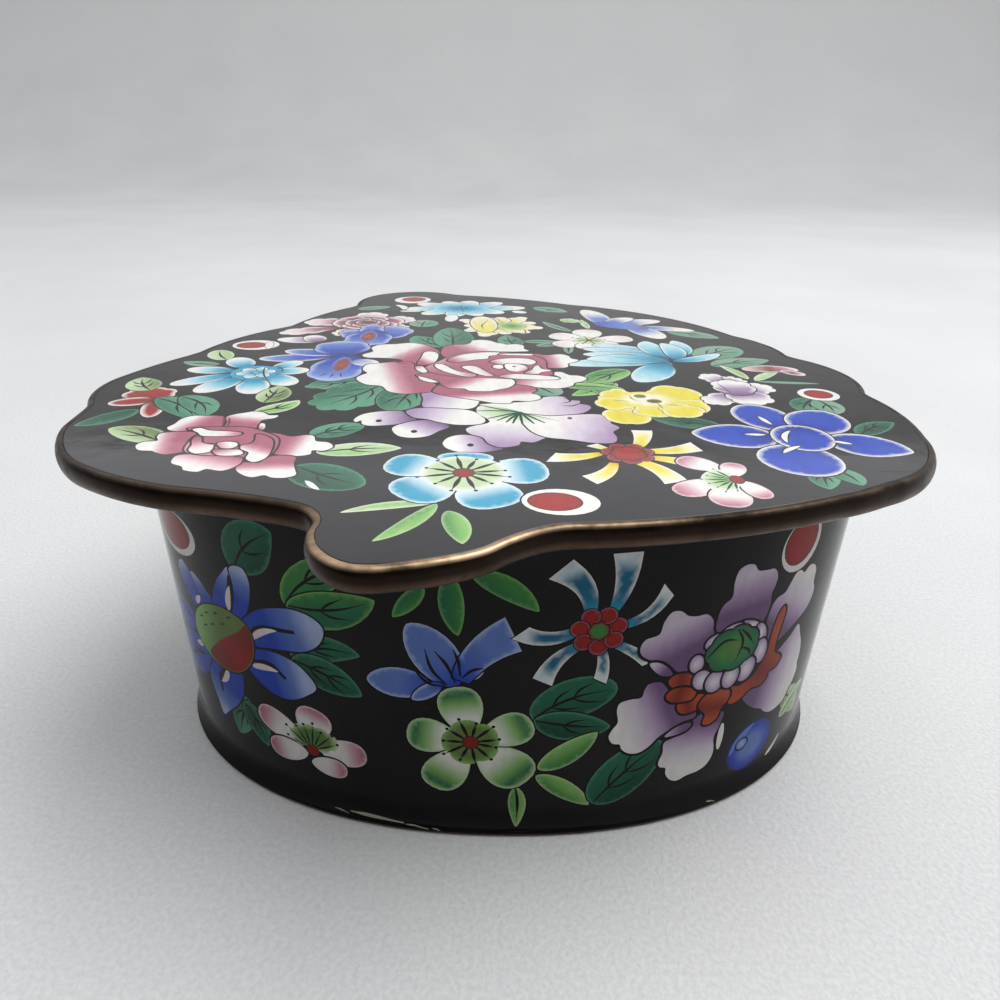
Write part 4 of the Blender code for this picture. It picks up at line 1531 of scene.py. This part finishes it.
def cut_surface(boundary, work):
    """The flat region inside boundary as points, triangles, and the colour of each triangle's corners."""
    boxes = [(loop.min(axis=0), loop.max(axis=0)) for loop in work.loops]
    points, edges = [], []
    for loop in [boundary, *work.loops]:
        first, count = len(points), len(loop)
        points.extend(loop)
        edges.extend((first + i, first + (i + 1) % count) for i in range(count))
    for i, (loop, rings) in enumerate(zip(work.loops, work.rings)):
        if rings is None:
            continue
        low, high = boxes[i]
        found = [hexagons(low, high, PAINT_STEP)]
        found += [evenly(grown(loop, -depth), max(8, len(loop) * 2 // 3)) for depth in rings]
        found = np.vstack(found)
        found = found[inside(found, loop)]
        if len(found):
            found = found[distance(found, loop) > PAINT_CLEAR]
        if len(found):
            found = found[top_shape(found, work, boxes) == i]
        points.extend(found)
    ground = hexagons(boundary.min(axis=0), boundary.max(axis=0), GROUND_STEP)
    ground = ground[inside(ground, boundary)]
    ground = ground[distance(ground, boundary) > GROUND_CLEAR]
    points.extend(ground[top_shape(ground, work, boxes) < 0])
    flat, _, faces, *_ = delaunay_2d_cdt([Vector(p) for p in points], edges, [], 0, 1e-4, False)
    flat, faces = np.array([tuple(p) for p in flat]), np.array(faces)
    middles = flat[faces].mean(axis=1)
    kept = inside(middles, boundary)
    faces, middles = faces[kept], middles[kept]
    top = top_shape(middles, work, boxes)
    colours = np.zeros((len(faces), 3, 4))
    for i in np.unique(top[top >= 0]):
        shown = np.flatnonzero(top == i)
        paint = work.paints[i]
        corners = flat[faces[shown]].reshape(-1, 2)
        found = COLOUR[paint] if isinstance(paint, str) else paint(corners).reshape(-1, 3, 3)
        colours[shown, :, :3] = found
        colours[shown, :, 3] = 1
    used, faces = np.unique(faces, return_inverse=True)
    return flat[used], faces.reshape(-1, 3), colours


def in_scene(name, data):
    """A new object in the scene."""
    found = bpy.data.objects.new(name, data)
    bpy.context.scene.collection.objects.link(found)
    return found


def make_piece(name, points, faces, materials, which=None, normals=None, colours=None):
    """A mesh object from points in millimetres. Which gives each face's material."""
    mesh = bpy.data.meshes.new(name)
    mesh.from_pydata((np.asarray(points) * MM).tolist(), [], faces)
    for material in materials:
        mesh.materials.append(material)
    if which is not None:
        mesh.polygons.foreach_set("material_index", which)
    mesh.shade_smooth()
    if colours is not None:
        layer = mesh.color_attributes.new("paint", "FLOAT_COLOR", "CORNER")
        values = np.zeros((len(mesh.loops), 4), np.float32)
        values[: len(colours)] = colours
        layer.data.foreach_set("color", values.ravel())
    if normals is None:
        mesh.set_sharp_from_angle(angle=math.radians(SHARP_DEGREES))
    else:
        mesh.normals_split_custom_set_from_vertices(np.asarray(normals).tolist())
    return in_scene(name, mesh)


def band(here, there, count):
    """Faces between two rings of points, given by the number of the first in each."""
    after = [(i + 1) % count for i in range(count)]
    return [[here + i, there + i, there + j, here + j] for i, j in enumerate(after)]


def loft(rings):
    """Faces that join rings of equal length and close both ends, and each face's ring."""
    count = len(rings[0])
    faces, ring_of = [list(range(count))], [0]
    for ring in range(len(rings) - 1):
        faces += band(ring * count, (ring + 1) * count, count)
        ring_of += [ring] * count
    last = (len(rings) - 1) * count
    faces.append(list(range(last + count - 1, last - 1, -1)))
    ring_of.append(len(rings))
    return faces, ring_of


def raised(loop, height):
    """A flat outline lifted to this height."""
    return np.column_stack([loop, np.full(len(loop), height)])


# Outlines of the CAD pieces


def ring_at(node, height):
    """The points of a CAD node at this height, in order round it."""
    points = np.array([tuple(v.co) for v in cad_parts[node].data.vertices]) / MM
    found = points[np.abs(points[:, 2] - height) < 0.05][:, :2]
    found = np.unique(found.round(2), axis=0)
    away = found - found.mean(axis=0)
    return found[np.argsort(np.arctan2(away[:, 1], away[:, 0]))]


def wall_inset(height):
    """How far the wall's face lies inside the mouth's outline: a slight lean, and the flare of the foot."""
    lean = WAIST_INSET * (SEAT - EDGE_ROUND - height) / (SEAT - EDGE_ROUND - WAIST_HEIGHT)
    flare = FLARE * (np.maximum(0, FLARE_TOP - height) / (FLARE_TOP - FOOT_BAND)) ** FLARE_POWER
    return lean - flare


def at_directions(loop, middle, directions):
    """Where rays from middle, at these angles, cross the outline."""
    away = loop - middle
    angle = np.arctan2(away[:, 1], away[:, 0])
    order = np.argsort(angle)
    reach = np.interp(directions, angle[order], np.hypot(*away.T)[order], period=2 * math.pi)
    return middle + np.column_stack([np.cos(directions), np.sin(directions)]) * reach[:, None]


def quarter(steps):
    """Sine and cosine pairs round a quarter turn, ends included."""
    turns = [math.pi / 2 * i / steps for i in range(steps + 1)]
    return [(math.sin(turn), math.cos(turn)) for turn in turns]


# Materials


def new_material(name):
    """An empty material, its nodes and links, and its surface shader."""
    material = bpy.data.materials.new(name)
    material.use_nodes = True
    tree = material.node_tree
    return material, tree, tree.nodes["Principled BSDF"]


def add(tree, kind, **values):
    """A node with its settings and, for sockets, its values."""
    node = tree.nodes.new(kind)
    for name, value in values.items():
        if name in node.inputs.keys():
            node.inputs[name].default_value = value
        else:
            setattr(node, name, value)
    return node


def noise(tree, where, scale, detail=3.0, roughness=0.5):
    """Cloudy noise from 0 to 1."""
    node = add(tree, "ShaderNodeTexNoise")
    node.inputs["Scale"].default_value = scale
    node.inputs["Detail"].default_value = detail
    node.inputs["Roughness"].default_value = roughness
    tree.links.new(where, node.inputs["Vector"])
    return node.outputs["Fac"]


def spread(tree, value, low, high, to_low=0.0, to_high=1.0):
    """The value's run from low to high, mapped onto the other two."""
    node = add(tree, "ShaderNodeMapRange")
    for name, number in (("From Min", low), ("From Max", high), ("To Min", to_low), ("To Max", to_high)):
        node.inputs[name].default_value = number
    tree.links.new(value, node.inputs["Value"])
    return node.outputs["Result"]


def patches(tree, where, scale, detail, roughness, low, high, to_low=0.0, to_high=1.0):
    """Noise with its run from low to high mapped onto the other two."""
    return spread(tree, noise(tree, where, scale, detail, roughness), low, high, to_low, to_high)


def mixed(tree, share, first, second, kind="MIX"):
    """Two colours, each a socket or a tuple, mixed by share."""
    node = add(tree, "ShaderNodeMix")
    node.data_type = "RGBA"
    node.blend_type = kind
    for socket, value in ((node.inputs[0], share), (node.inputs[6], first), (node.inputs[7], second)):
        if isinstance(value, bpy.types.NodeSocket):
            tree.links.new(value, socket)
        else:
            socket.default_value = value if isinstance(value, float) else (*value, 1)
    return node.outputs[2]


def times(tree, first, second):
    """The product of two values, each a socket or a number."""
    node = add(tree, "ShaderNodeMath")
    node.operation = "MULTIPLY"
    for socket, value in zip(node.inputs, (first, second)):
        if isinstance(value, bpy.types.NodeSocket):
            tree.links.new(value, socket)
        else:
            socket.default_value = value
    return node.outputs[0]


def bump(tree, shader, heights):
    """Bumps in turn, each a height socket, its strength, and its depth in metres."""
    normal = None
    for height, strength, depth in heights:
        node = add(tree, "ShaderNodeBump")
        node.inputs["Strength"].default_value = strength
        node.inputs["Distance"].default_value = depth
        tree.links.new(height, node.inputs["Height"])
        if normal:
            tree.links.new(normal, node.inputs["Normal"])
        normal = node.outputs["Normal"]
    tree.links.new(normal, shader.inputs["Normal"])


def in_metres(tree):
    """Places on the piece, in metres in the box's frame."""
    return add(tree, "ShaderNodeTexCoord").outputs["Object"]


def stretched(tree, where, scale, turn=(0, 0, 0)):
    """Places turned and scaled, so that noise there runs in streaks."""
    node = add(tree, "ShaderNodeMapping")
    node.inputs["Scale"].default_value = scale
    node.inputs["Rotation"].default_value = [math.radians(a) for a in turn]
    tree.links.new(where, node.inputs["Vector"])
    return node.outputs["Vector"]


def painted_enamel(name, gloss, depth):
    """Black enamel with its painting under a clear, slightly uneven glaze, with fine scratches and dust.
    Depth below 1 darkens the painting as painted shade.
    """
    material, tree, shader = new_material(name)
    where = in_metres(tree)
    paint = add(tree, "ShaderNodeAttribute")
    paint.attribute_name = "paint"
    # The painting's colour times depth: below 1 this is painted shade
    mottle = patches(tree, where, 420, 4, 0.6, 0.3, 0.7, 0.95 * depth, 1.03 * depth)
    strokes = noise(tree, stretched(tree, where, (900, 260, 260), (20, 0, 35)), 1.0, 2, 0.5)
    brushed = mixed(
        tree, 1.0, paint.outputs["Color"], spread(tree, strokes, 0.3, 0.7, 0.93, 1.04), "MULTIPLY",
    )
    brushed = mixed(tree, 1.0, brushed, mottle, "MULTIPLY")
    cloud = patches(tree, where, 60, 4, 0.6, 0.35, 0.7)
    ground = mixed(tree, cloud, (0.0036, 0.0034, 0.0042), (0.0085, 0.0078, 0.0088))
    specks = patches(tree, where, 2600, 2, 0.5, 0.735, 0.76)
    ground = mixed(tree, times(tree, specks, 0.2), ground, (0.16, 0.15, 0.14))
    tree.links.new(mixed(tree, paint.outputs["Alpha"], ground, brushed), shader.inputs["Base Color"])
    scratch = noise(tree, stretched(tree, where, (40, 1800, 1800), (0, 12, 8)), 1.0, 2, 0.5)
    scratch = spread(tree, scratch, 0.70, 0.74)
    smear = patches(tree, where, 95, 5, 0.65, 0.35, 0.75, 0.05, 0.17)
    tree.links.new(
        mixed(tree, times(tree, scratch, 0.4), smear, (0.35, 0.35, 0.35)), shader.inputs["Roughness"],
    )
    shader.inputs["Specular IOR Level"].default_value = gloss
    shader.inputs["IOR"].default_value = 1.5
    bump(tree, shader, (
        (noise(tree, where, 240, 2, 0.5), 0.10, 0.00022),
        (noise(tree, where, 70, 2, 0.5), 0.14, 0.0006),
        (paint.outputs["Alpha"], 0.10, 0.00003),
    ))
    return material


def patinated_copper():
    """Old copper: dark brown, its upper half painted nearly black as a dark reflection, and rubbed bright on
    top, most at the tongue, where that is also a painted highlight.
    """
    material, tree, shader = new_material("patinated_copper")
    where = in_metres(tree)
    cloud = patches(tree, where, 130, 5, 0.65, 0.32, 0.68)
    base = mixed(tree, cloud, (0.048, 0.029, 0.02), (0.105, 0.066, 0.044))
    spots = patches(tree, where, 520, 4, 0.6, 0.55, 0.68)
    base = mixed(tree, times(tree, spots, 0.65), base, (0.03, 0.018, 0.013))
    height = add(tree, "ShaderNodeSeparateXYZ")
    tree.links.new(where, height.inputs[0])
    # Painted reflection: the rim's upper half is darkened to nearly black, for the dark room it faces
    base = mixed(tree, spread(tree, height.outputs[2], *RIM_DARK_REFLECTION, 0, 0.92), base, (0.014, 0.009, 0.007))
    # Rubbed copper on the crest, kept mostly to the tongue: real wear, and there also a painted highlight
    crest = spread(tree, height.outputs[2], *RIM_CREST)
    worn = times(tree, crest, spread(tree, height.outputs[1], *TONGUE, 0.12, 1.0))
    worn = times(tree, worn, patches(tree, where, 110, 4, 0.7, 0.34, 0.58))
    base = mixed(tree, worn, base, (0.56, 0.39, 0.25))
    tree.links.new(base, shader.inputs["Base Color"])
    shader.inputs["Metallic"].default_value = 1.0
    rough = patches(tree, where, 340, 4, 0.6, 0.3, 0.7, 0.26, 0.52)
    tree.links.new(rough, shader.inputs["Roughness"])
    scratch = noise(tree, stretched(tree, where, (120, 120, 2600), (0, 0, 10)), 1.0, 3, 0.6)
    bump(tree, shader, ((noise(tree, where, 900, 3, 0.6), 0.25, 0.00006), (scratch, 0.2, 0.00004)))
    return material


def turquoise_enamel():
    """The plain enamel of the inside, with fine pits and soft clouds."""
    material, tree, shader = new_material("turquoise_enamel")
    where = in_metres(tree)
    cloud = patches(tree, where, 55, 5, 0.6, 0.3, 0.7)
    base = mixed(tree, cloud, (0.055, 0.33, 0.40), (0.10, 0.44, 0.49))
    pits = patches(tree, where, 1500, 2, 0.5, 0.70, 0.76)
    base = mixed(tree, times(tree, pits, 0.6), base, (0.02, 0.08, 0.10))
    tree.links.new(base, shader.inputs["Base Color"])
    tree.links.new(patches(tree, where, 120, 4, 0.6, 0.3, 0.7, 0.10, 0.26), shader.inputs["Roughness"])
    bump(tree, shader, ((noise(tree, where, 260, 2, 0.5), 0.2, 0.0003), (pits, 0.3, 0.00005)))
    return material


def black_enamel():
    """The plain enamel under the lid and under the foot."""
    material, tree, shader = new_material("black_enamel")
    where = in_metres(tree)
    cloud = patches(tree, where, 80, 5, 0.6, 0.3, 0.7)
    tree.links.new(
        mixed(tree, cloud, (0.006, 0.006, 0.008), (0.018, 0.017, 0.02)), shader.inputs["Base Color"],
    )
    tree.links.new(patches(tree, where, 150, 4, 0.6, 0.3, 0.7, 0.12, 0.3), shader.inputs["Roughness"])
    bump(tree, shader, ((noise(tree, where, 240, 2, 0.5), 0.2, 0.0003),))
    return material


# Pieces


def mapped(piece, places):
    """Lays the piece's texture map out: one place, from 0 to 1, for each corner."""
    layer = piece.data.uv_layers.new(name="OFBake")
    layer.data.foreach_set("uv", np.clip(places, 0, 1).astype(np.float32).ravel())


def corners_of(piece):
    """The number of the point at each corner of each face."""
    found = np.empty(len(piece.data.loops), np.int32)
    piece.data.loops.foreach_get("vertex_index", found)
    return found


def placed(piece, node):
    """The piece put under the root in place of a CAD node, whose own mesh is hidden."""
    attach(piece, "root")
    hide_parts(node)
    return piece


def make_lid_enamel(edge, material):
    """The painted plate: a flat top with a rounded edge, which goes down behind the copper line."""
    start = RIM_ROUND + COPPER_LINE
    flat, triangles, colours = cut_surface(inset(edge, start + ENAMEL_ROUND), paint_lid())
    points = [raised(flat, HEIGHT)]
    normals = [np.tile((0.0, 0.0, 1.0), (len(flat), 1))]
    faces = triangles.tolist()
    way = ahead(inset(edge, start))
    outward = np.column_stack([way[:, 1], -way[:, 0]])
    count = len(edge)
    steps = quarter(EDGE_STEPS)
    for sine, cosine in steps:
        points.append(
            raised(inset(edge, start + ENAMEL_ROUND * (1 - sine)), HEIGHT - ENAMEL_ROUND * (1 - cosine)),
        )
        normals.append(np.column_stack([outward * sine, np.full(count, max(cosine, 0.02))]))
    points.append(raised(inset(edge, start), HEIGHT - ENAMEL_DEPTH))
    normals.append(np.column_stack([outward, np.zeros(count)]))
    for ring in range(len(steps)):
        first = len(flat) + ring * count
        faces += band(first, first + count, count)
    points, normals = np.vstack(points), np.vstack(normals)
    normals /= np.linalg.norm(normals, axis=1)[:, None]
    piece = make_piece("lid_enamel", points, faces, [material], None, normals, colours.reshape(-1, 4))
    low = edge.min(axis=0)
    span = (edge.max(axis=0) - low).max()
    mapped(piece, 0.01 + 0.98 * (points[corners_of(piece), :2] - low) / span)
    return placed(piece, "lid")


def make_lid_copper(edge, mouth, materials):
    """Rolled rim, underside and locating ring. Materials are copper, black and turquoise."""
    low = HEIGHT - RIM_HEIGHT
    under = HEIGHT - PLATE
    start = RIM_ROUND + COPPER_LINE
    rings = [(inset(edge, start + behind), HEIGHT - below) for behind, below in TUCKED]
    for i in range(RIM_STEPS + 1):
        turn = math.pi / 2 - math.pi * i / RIM_STEPS
        height = low + RIM_HEIGHT / 2 * (1 + math.sin(turn))
        rings.append((inset(edge, RIM_ROUND * (1 - math.cos(turn))), height))
    rings += [(inset(edge, RIM_INNER), low + RIM_LIFT), (inset(edge, RIM_INNER), under)]
    plain = len(rings) - 1
    middle = mouth.mean(axis=0)
    away = edge - middle
    directions = np.arctan2(away[:, 1], away[:, 0])
    outer = at_directions(inset(mouth, WALL + LIP_CLEARANCE), middle, directions)
    inner = at_directions(inset(mouth, WALL + LIP_CLEARANCE + LIP_WALL), middle, directions)
    low = under - LIP_DEPTH
    rings += [(outer, under), (outer, low), (inner, low), (inner, under)]
    faces, ring_of = loft([loop for loop, _ in rings])
    which = [1 if ring == plain else 2 if ring > plain + 3 else 0 for ring in ring_of]
    points = np.vstack([raised(loop, height) for loop, height in rings])
    piece = make_piece("lid_copper", points, faces, materials, which)
    return placed(piece, "lid")


def make_body_enamel(mouth, material):
    """The painted wall. It's flat for the painting and is then bent round the body."""
    closed, along = measured(mouth)
    total = along[-1]
    way = ahead(mouth)
    normal = np.column_stack([way[:, 1], -way[:, 0]])
    normal = np.vstack([normal, normal[:1]])
    low, high = ENAMEL_LOW + ENAMEL_ROUND, SEAT - EDGE_ROUND - ENAMEL_ROUND
    half = total / 2
    across = np.linspace(-half, half, 2 * round(half / WALL_STEP) + 1)
    up = np.linspace(low, high, WALL_ROWS + 1)[1:-1]
    right, bottom, top = np.full(len(up), half), np.full(len(across), low), np.full(len(across), high)
    edges = ((across, bottom), (right, up), (across[::-1], top), (-right, up[::-1]))
    boundary = np.vstack([np.column_stack(edge) for edge in edges])
    flat, triangles, colours = cut_surface(boundary, paint_wall())
    faces = triangles.tolist()

    def bent(places, depth):
        """Places on the flat painting, on the wall and this far behind its face."""
        at = np.mod(places[:, 0], total)
        out = np.column_stack([np.interp(at, along, normal[:, i]) for i in (0, 1)])
        spot = np.column_stack([np.interp(at, along, closed[:, i]) for i in (0, 1)])
        found = spot - out * (wall_inset(places[:, 1]) + depth)[:, None]
        lean = (wall_inset(places[:, 1] + 0.1) - wall_inset(places[:, 1] - 0.1)) / 0.2
        return np.column_stack([found, places[:, 1]]), np.column_stack([out, lean])

    points, normals, flats = [], [], [flat]
    found, out = bent(flat, np.zeros(len(flat)))
    points.append(found)
    normals.append(out)
    first = len(flat)
    count = len(across)
    for height, sign in ((low, -1), (high, 1)):
        for ring, (sine, cosine) in enumerate(quarter(EDGE_STEPS)):
            places = np.column_stack([across, np.full(count, height + sign * ENAMEL_ROUND * sine)])
            found, out = bent(places, np.full(count, ENAMEL_ROUND * (1 - cosine)))
            points.append(found)
            normals.append(out * [[cosine, cosine, 1]] + [[0, 0, sign * sine]])
            flats.append(places)
            if ring < EDGE_STEPS:
                for i in range(count - 1):
                    here, there = first + i, first + count + i
                    faces.append([here, there, there + 1, here + 1][:: -sign])
            first += count
    points, normals, flats = np.vstack(points), np.vstack(normals), np.vstack(flats)
    normals /= np.linalg.norm(normals, axis=1)[:, None]
    piece = make_piece("body_enamel", points, faces, [material], None, normals, colours.reshape(-1, 4))
    sheet = flats[corners_of(piece)]
    sides = np.array([len(face) for face in faces])
    starts = np.concatenate([[0], np.cumsum(sides)[:-1]])
    middles = np.add.reduceat(sheet[:, 0], starts) / sides
    row_length = total / MAP_ROWS
    row = np.repeat(np.clip(np.floor((middles + half) / row_length), 0, MAP_ROWS - 1), sides)
    u = (sheet[:, 0] + half - row * total / MAP_ROWS) / row_length
    v = (sheet[:, 1] - ENAMEL_LOW) / (high + ENAMEL_ROUND - ENAMEL_LOW)
    mapped(piece, np.column_stack([0.03 + 0.94 * u, (row + 0.02 + 0.96 * v) / MAP_ROWS]))
    return placed(piece, "box_body")


def make_body_copper(mouth, materials):
    """Foot, mouth and floor, and the wall behind the enamel. Materials are copper, black and turquoise."""
    floor_top = FOOT_RECESS + FLOOR
    deep = WAIST_INSET + WALL
    rings = []
    for sine, cosine in quarter(FILLET_STEPS):
        rings.append((deep + INNER_FILLET * (1 - sine), floor_top + INNER_FILLET * (1 - cosine)))
    rings += [(WALL, SEAT - EDGE_ROUND)]
    lined = len(rings)
    for sine, cosine in quarter(EDGE_STEPS):
        rings.append((WALL - EDGE_ROUND * (1 - cosine), SEAT - EDGE_ROUND * (1 - sine)))
    for sine, cosine in quarter(EDGE_STEPS):
        rings.append((EDGE_ROUND * (1 - sine), SEAT - EDGE_ROUND * (1 - cosine)))
    top = SEAT - EDGE_ROUND
    rings += [(wall_inset(top) + COPPER_BEHIND, top - 0.02)]
    for height in np.linspace(top - 2, ENAMEL_LOW + 1, COPPER_ROWS):
        rings.append((wall_inset(height) + COPPER_BEHIND, height))
    rings += [
        (wall_inset(ENAMEL_LOW) + COPPER_BEHIND, ENAMEL_LOW + 0.02),
        (wall_inset(FOOT_BAND), FOOT_BAND + 0.05),
    ]
    rings += [(FOOT_INSET, FOOT_BAND - 0.1)]
    for sine, cosine in quarter(EDGE_STEPS):
        rings.append((FOOT_INSET + EDGE_ROUND * (1 - cosine), EDGE_ROUND * (1 - sine)))
    rings += [(FOOT_RING, 0), (FOOT_RING, FOOT_RECESS)]
    loops = [inset(mouth, depth) for depth, _ in rings]
    faces, ring_of = loft(loops)
    last = len(rings)
    which = [2 if ring < lined else 1 if ring == last else 0 for ring in ring_of]
    points = np.vstack([raised(loop, height) for loop, (_, height) in zip(loops, rings)])
    piece = make_piece("body_copper", points, faces, materials, which)
    return placed(piece, "box_body")


# Studio


def make_floor():
    """A pale cloth that runs up behind the box, with painted light making it lighter higher up."""
    material, tree, shader = new_material("pale_cloth")
    where = in_metres(tree)
    base = mixed(tree, patches(tree, where, 9, 3, 0.5, 0.3, 0.7), (0.70, 0.705, 0.71), (0.76, 0.76, 0.76))
    height = add(tree, "ShaderNodeSeparateXYZ")
    tree.links.new(where, height.inputs[0])
    # Painted light: the cloth turns lighter as it rises, against the shade from the dark front of the room
    base = mixed(tree, spread(tree, height.outputs[2], 0.01, 0.4), base, (0.92, 0.92, 0.92))
    weave = noise(tree, where, 1500, 2, 0.5)
    base = mixed(tree, 1.0, base, spread(tree, weave, 0.3, 0.7, 0.92, 1.04), "MULTIPLY")
    tree.links.new(base, shader.inputs["Base Color"])
    shader.inputs["Roughness"].default_value = 0.95
    shader.inputs["Specular IOR Level"].default_value = 0.1
    bump(tree, shader, ((weave, 0.4, 0.0003), (noise(tree, where, 14, 2, 0.5), 0.4, 0.004)))
    mesh = bpy.data.meshes.new("cloth")
    rows = [(CLOTH_FRONT, 0)]
    for sine, cosine in quarter(10):
        rows.append((CLOTH_BEND + CLOTH_ROUND * sine, CLOTH_ROUND * (1 - cosine)))
    rows.append((CLOTH_BEND + CLOTH_ROUND, CLOTH_TOP))
    points = [(x, y, z) for y, z in rows for x in (-CLOTH_HALF, CLOTH_HALF)]
    faces = [(2 * i, 2 * i + 1, 2 * i + 3, 2 * i + 2) for i in range(len(rows) - 1)]
    mesh.from_pydata(points, [], faces)
    mesh.materials.append(material)
    mesh.shade_smooth()
    floor = in_scene("cloth", mesh)


def light_studio():
    """A bright room behind and above, dark towards the front, with a window high to the right."""
    world = bpy.data.worlds.new("studio")
    world.use_nodes = True
    tree = world.node_tree
    way = add(tree, "ShaderNodeSeparateXYZ")
    tree.links.new(add(tree, "ShaderNodeTexCoord").outputs["Generated"], way.inputs[0])
    share = way.outputs[1]
    for part, weight in ((way.outputs[2], ROOM_UP), (way.outputs[0], ROOM_RIGHT)):
        lifted = add(tree, "ShaderNodeMath", operation="MULTIPLY_ADD")
        lifted.inputs[1].default_value = weight
        tree.links.new(part, lifted.inputs[0])
        tree.links.new(share, lifted.inputs[2])
        share = lifted.outputs[0]
    back = tree.nodes["Background"]
    room = mixed(tree, spread(tree, share, *ROOM_TURNS), ROOM_DARK, ROOM_BRIGHT)
    tree.links.new(room, back.inputs["Color"])
    back.inputs["Strength"].default_value = ROOM_STRENGTH
    bpy.context.scene.world = world
    light = bpy.data.lights.new("window", "AREA")
    light.size, light.energy, light.color = WINDOW_SIZE, WINDOW_POWER, WINDOW_COLOUR
    lamp = in_scene("window", light)
    lamp.location = WINDOW_PLACE
    way = Vector(WINDOW_AIM) - Vector(WINDOW_PLACE)
    lamp.rotation_euler = way.to_track_quat("-Z", "Y").to_euler()


def make_camera():
    """The camera that took the photograph."""
    camera = bpy.data.cameras.new("camera")
    camera.lens = CAMERA_LENS
    camera.sensor_width = 36
    camera.clip_start, camera.clip_end = 0.005, 20
    holder = in_scene("camera", camera)
    holder.location = CAMERA_PLACE
    down = Matrix.Rotation(math.radians(90 - CAMERA_DOWN), 3, "X")
    holder.rotation_euler = (down @ Matrix.Rotation(math.radians(CAMERA_ROLL), 3, "Z")).to_euler()
    bpy.context.scene.camera = holder


def main():
    lid_edge = inset(curve(ring_at("lid", HEIGHT), 4, closed=True), -RIM_ROUND)
    mouth = inset(curve(ring_at("box_body", WAIST_HEIGHT), 6, closed=True), -WAIST_INSET)
    mouth = np.roll(mouth, -int(np.argmin(mouth[:, 1])), axis=0)
    metal = [patinated_copper(), black_enamel(), turquoise_enamel()]
    make_lid_enamel(lid_edge, painted_enamel("lid_painting", 0.5, 1.0))
    make_lid_copper(lid_edge, mouth, metal)
    # The wall's painting at 0.6 of the lid's brightness is painted shade, all round the wall
    make_body_enamel(mouth, painted_enamel("wall_painting", 0.09, 0.6))
    make_body_copper(mouth, metal)
    make_floor()
    light_studio()
    make_camera()
    bpy.context.scene.view_settings.view_transform = "Standard"


main()
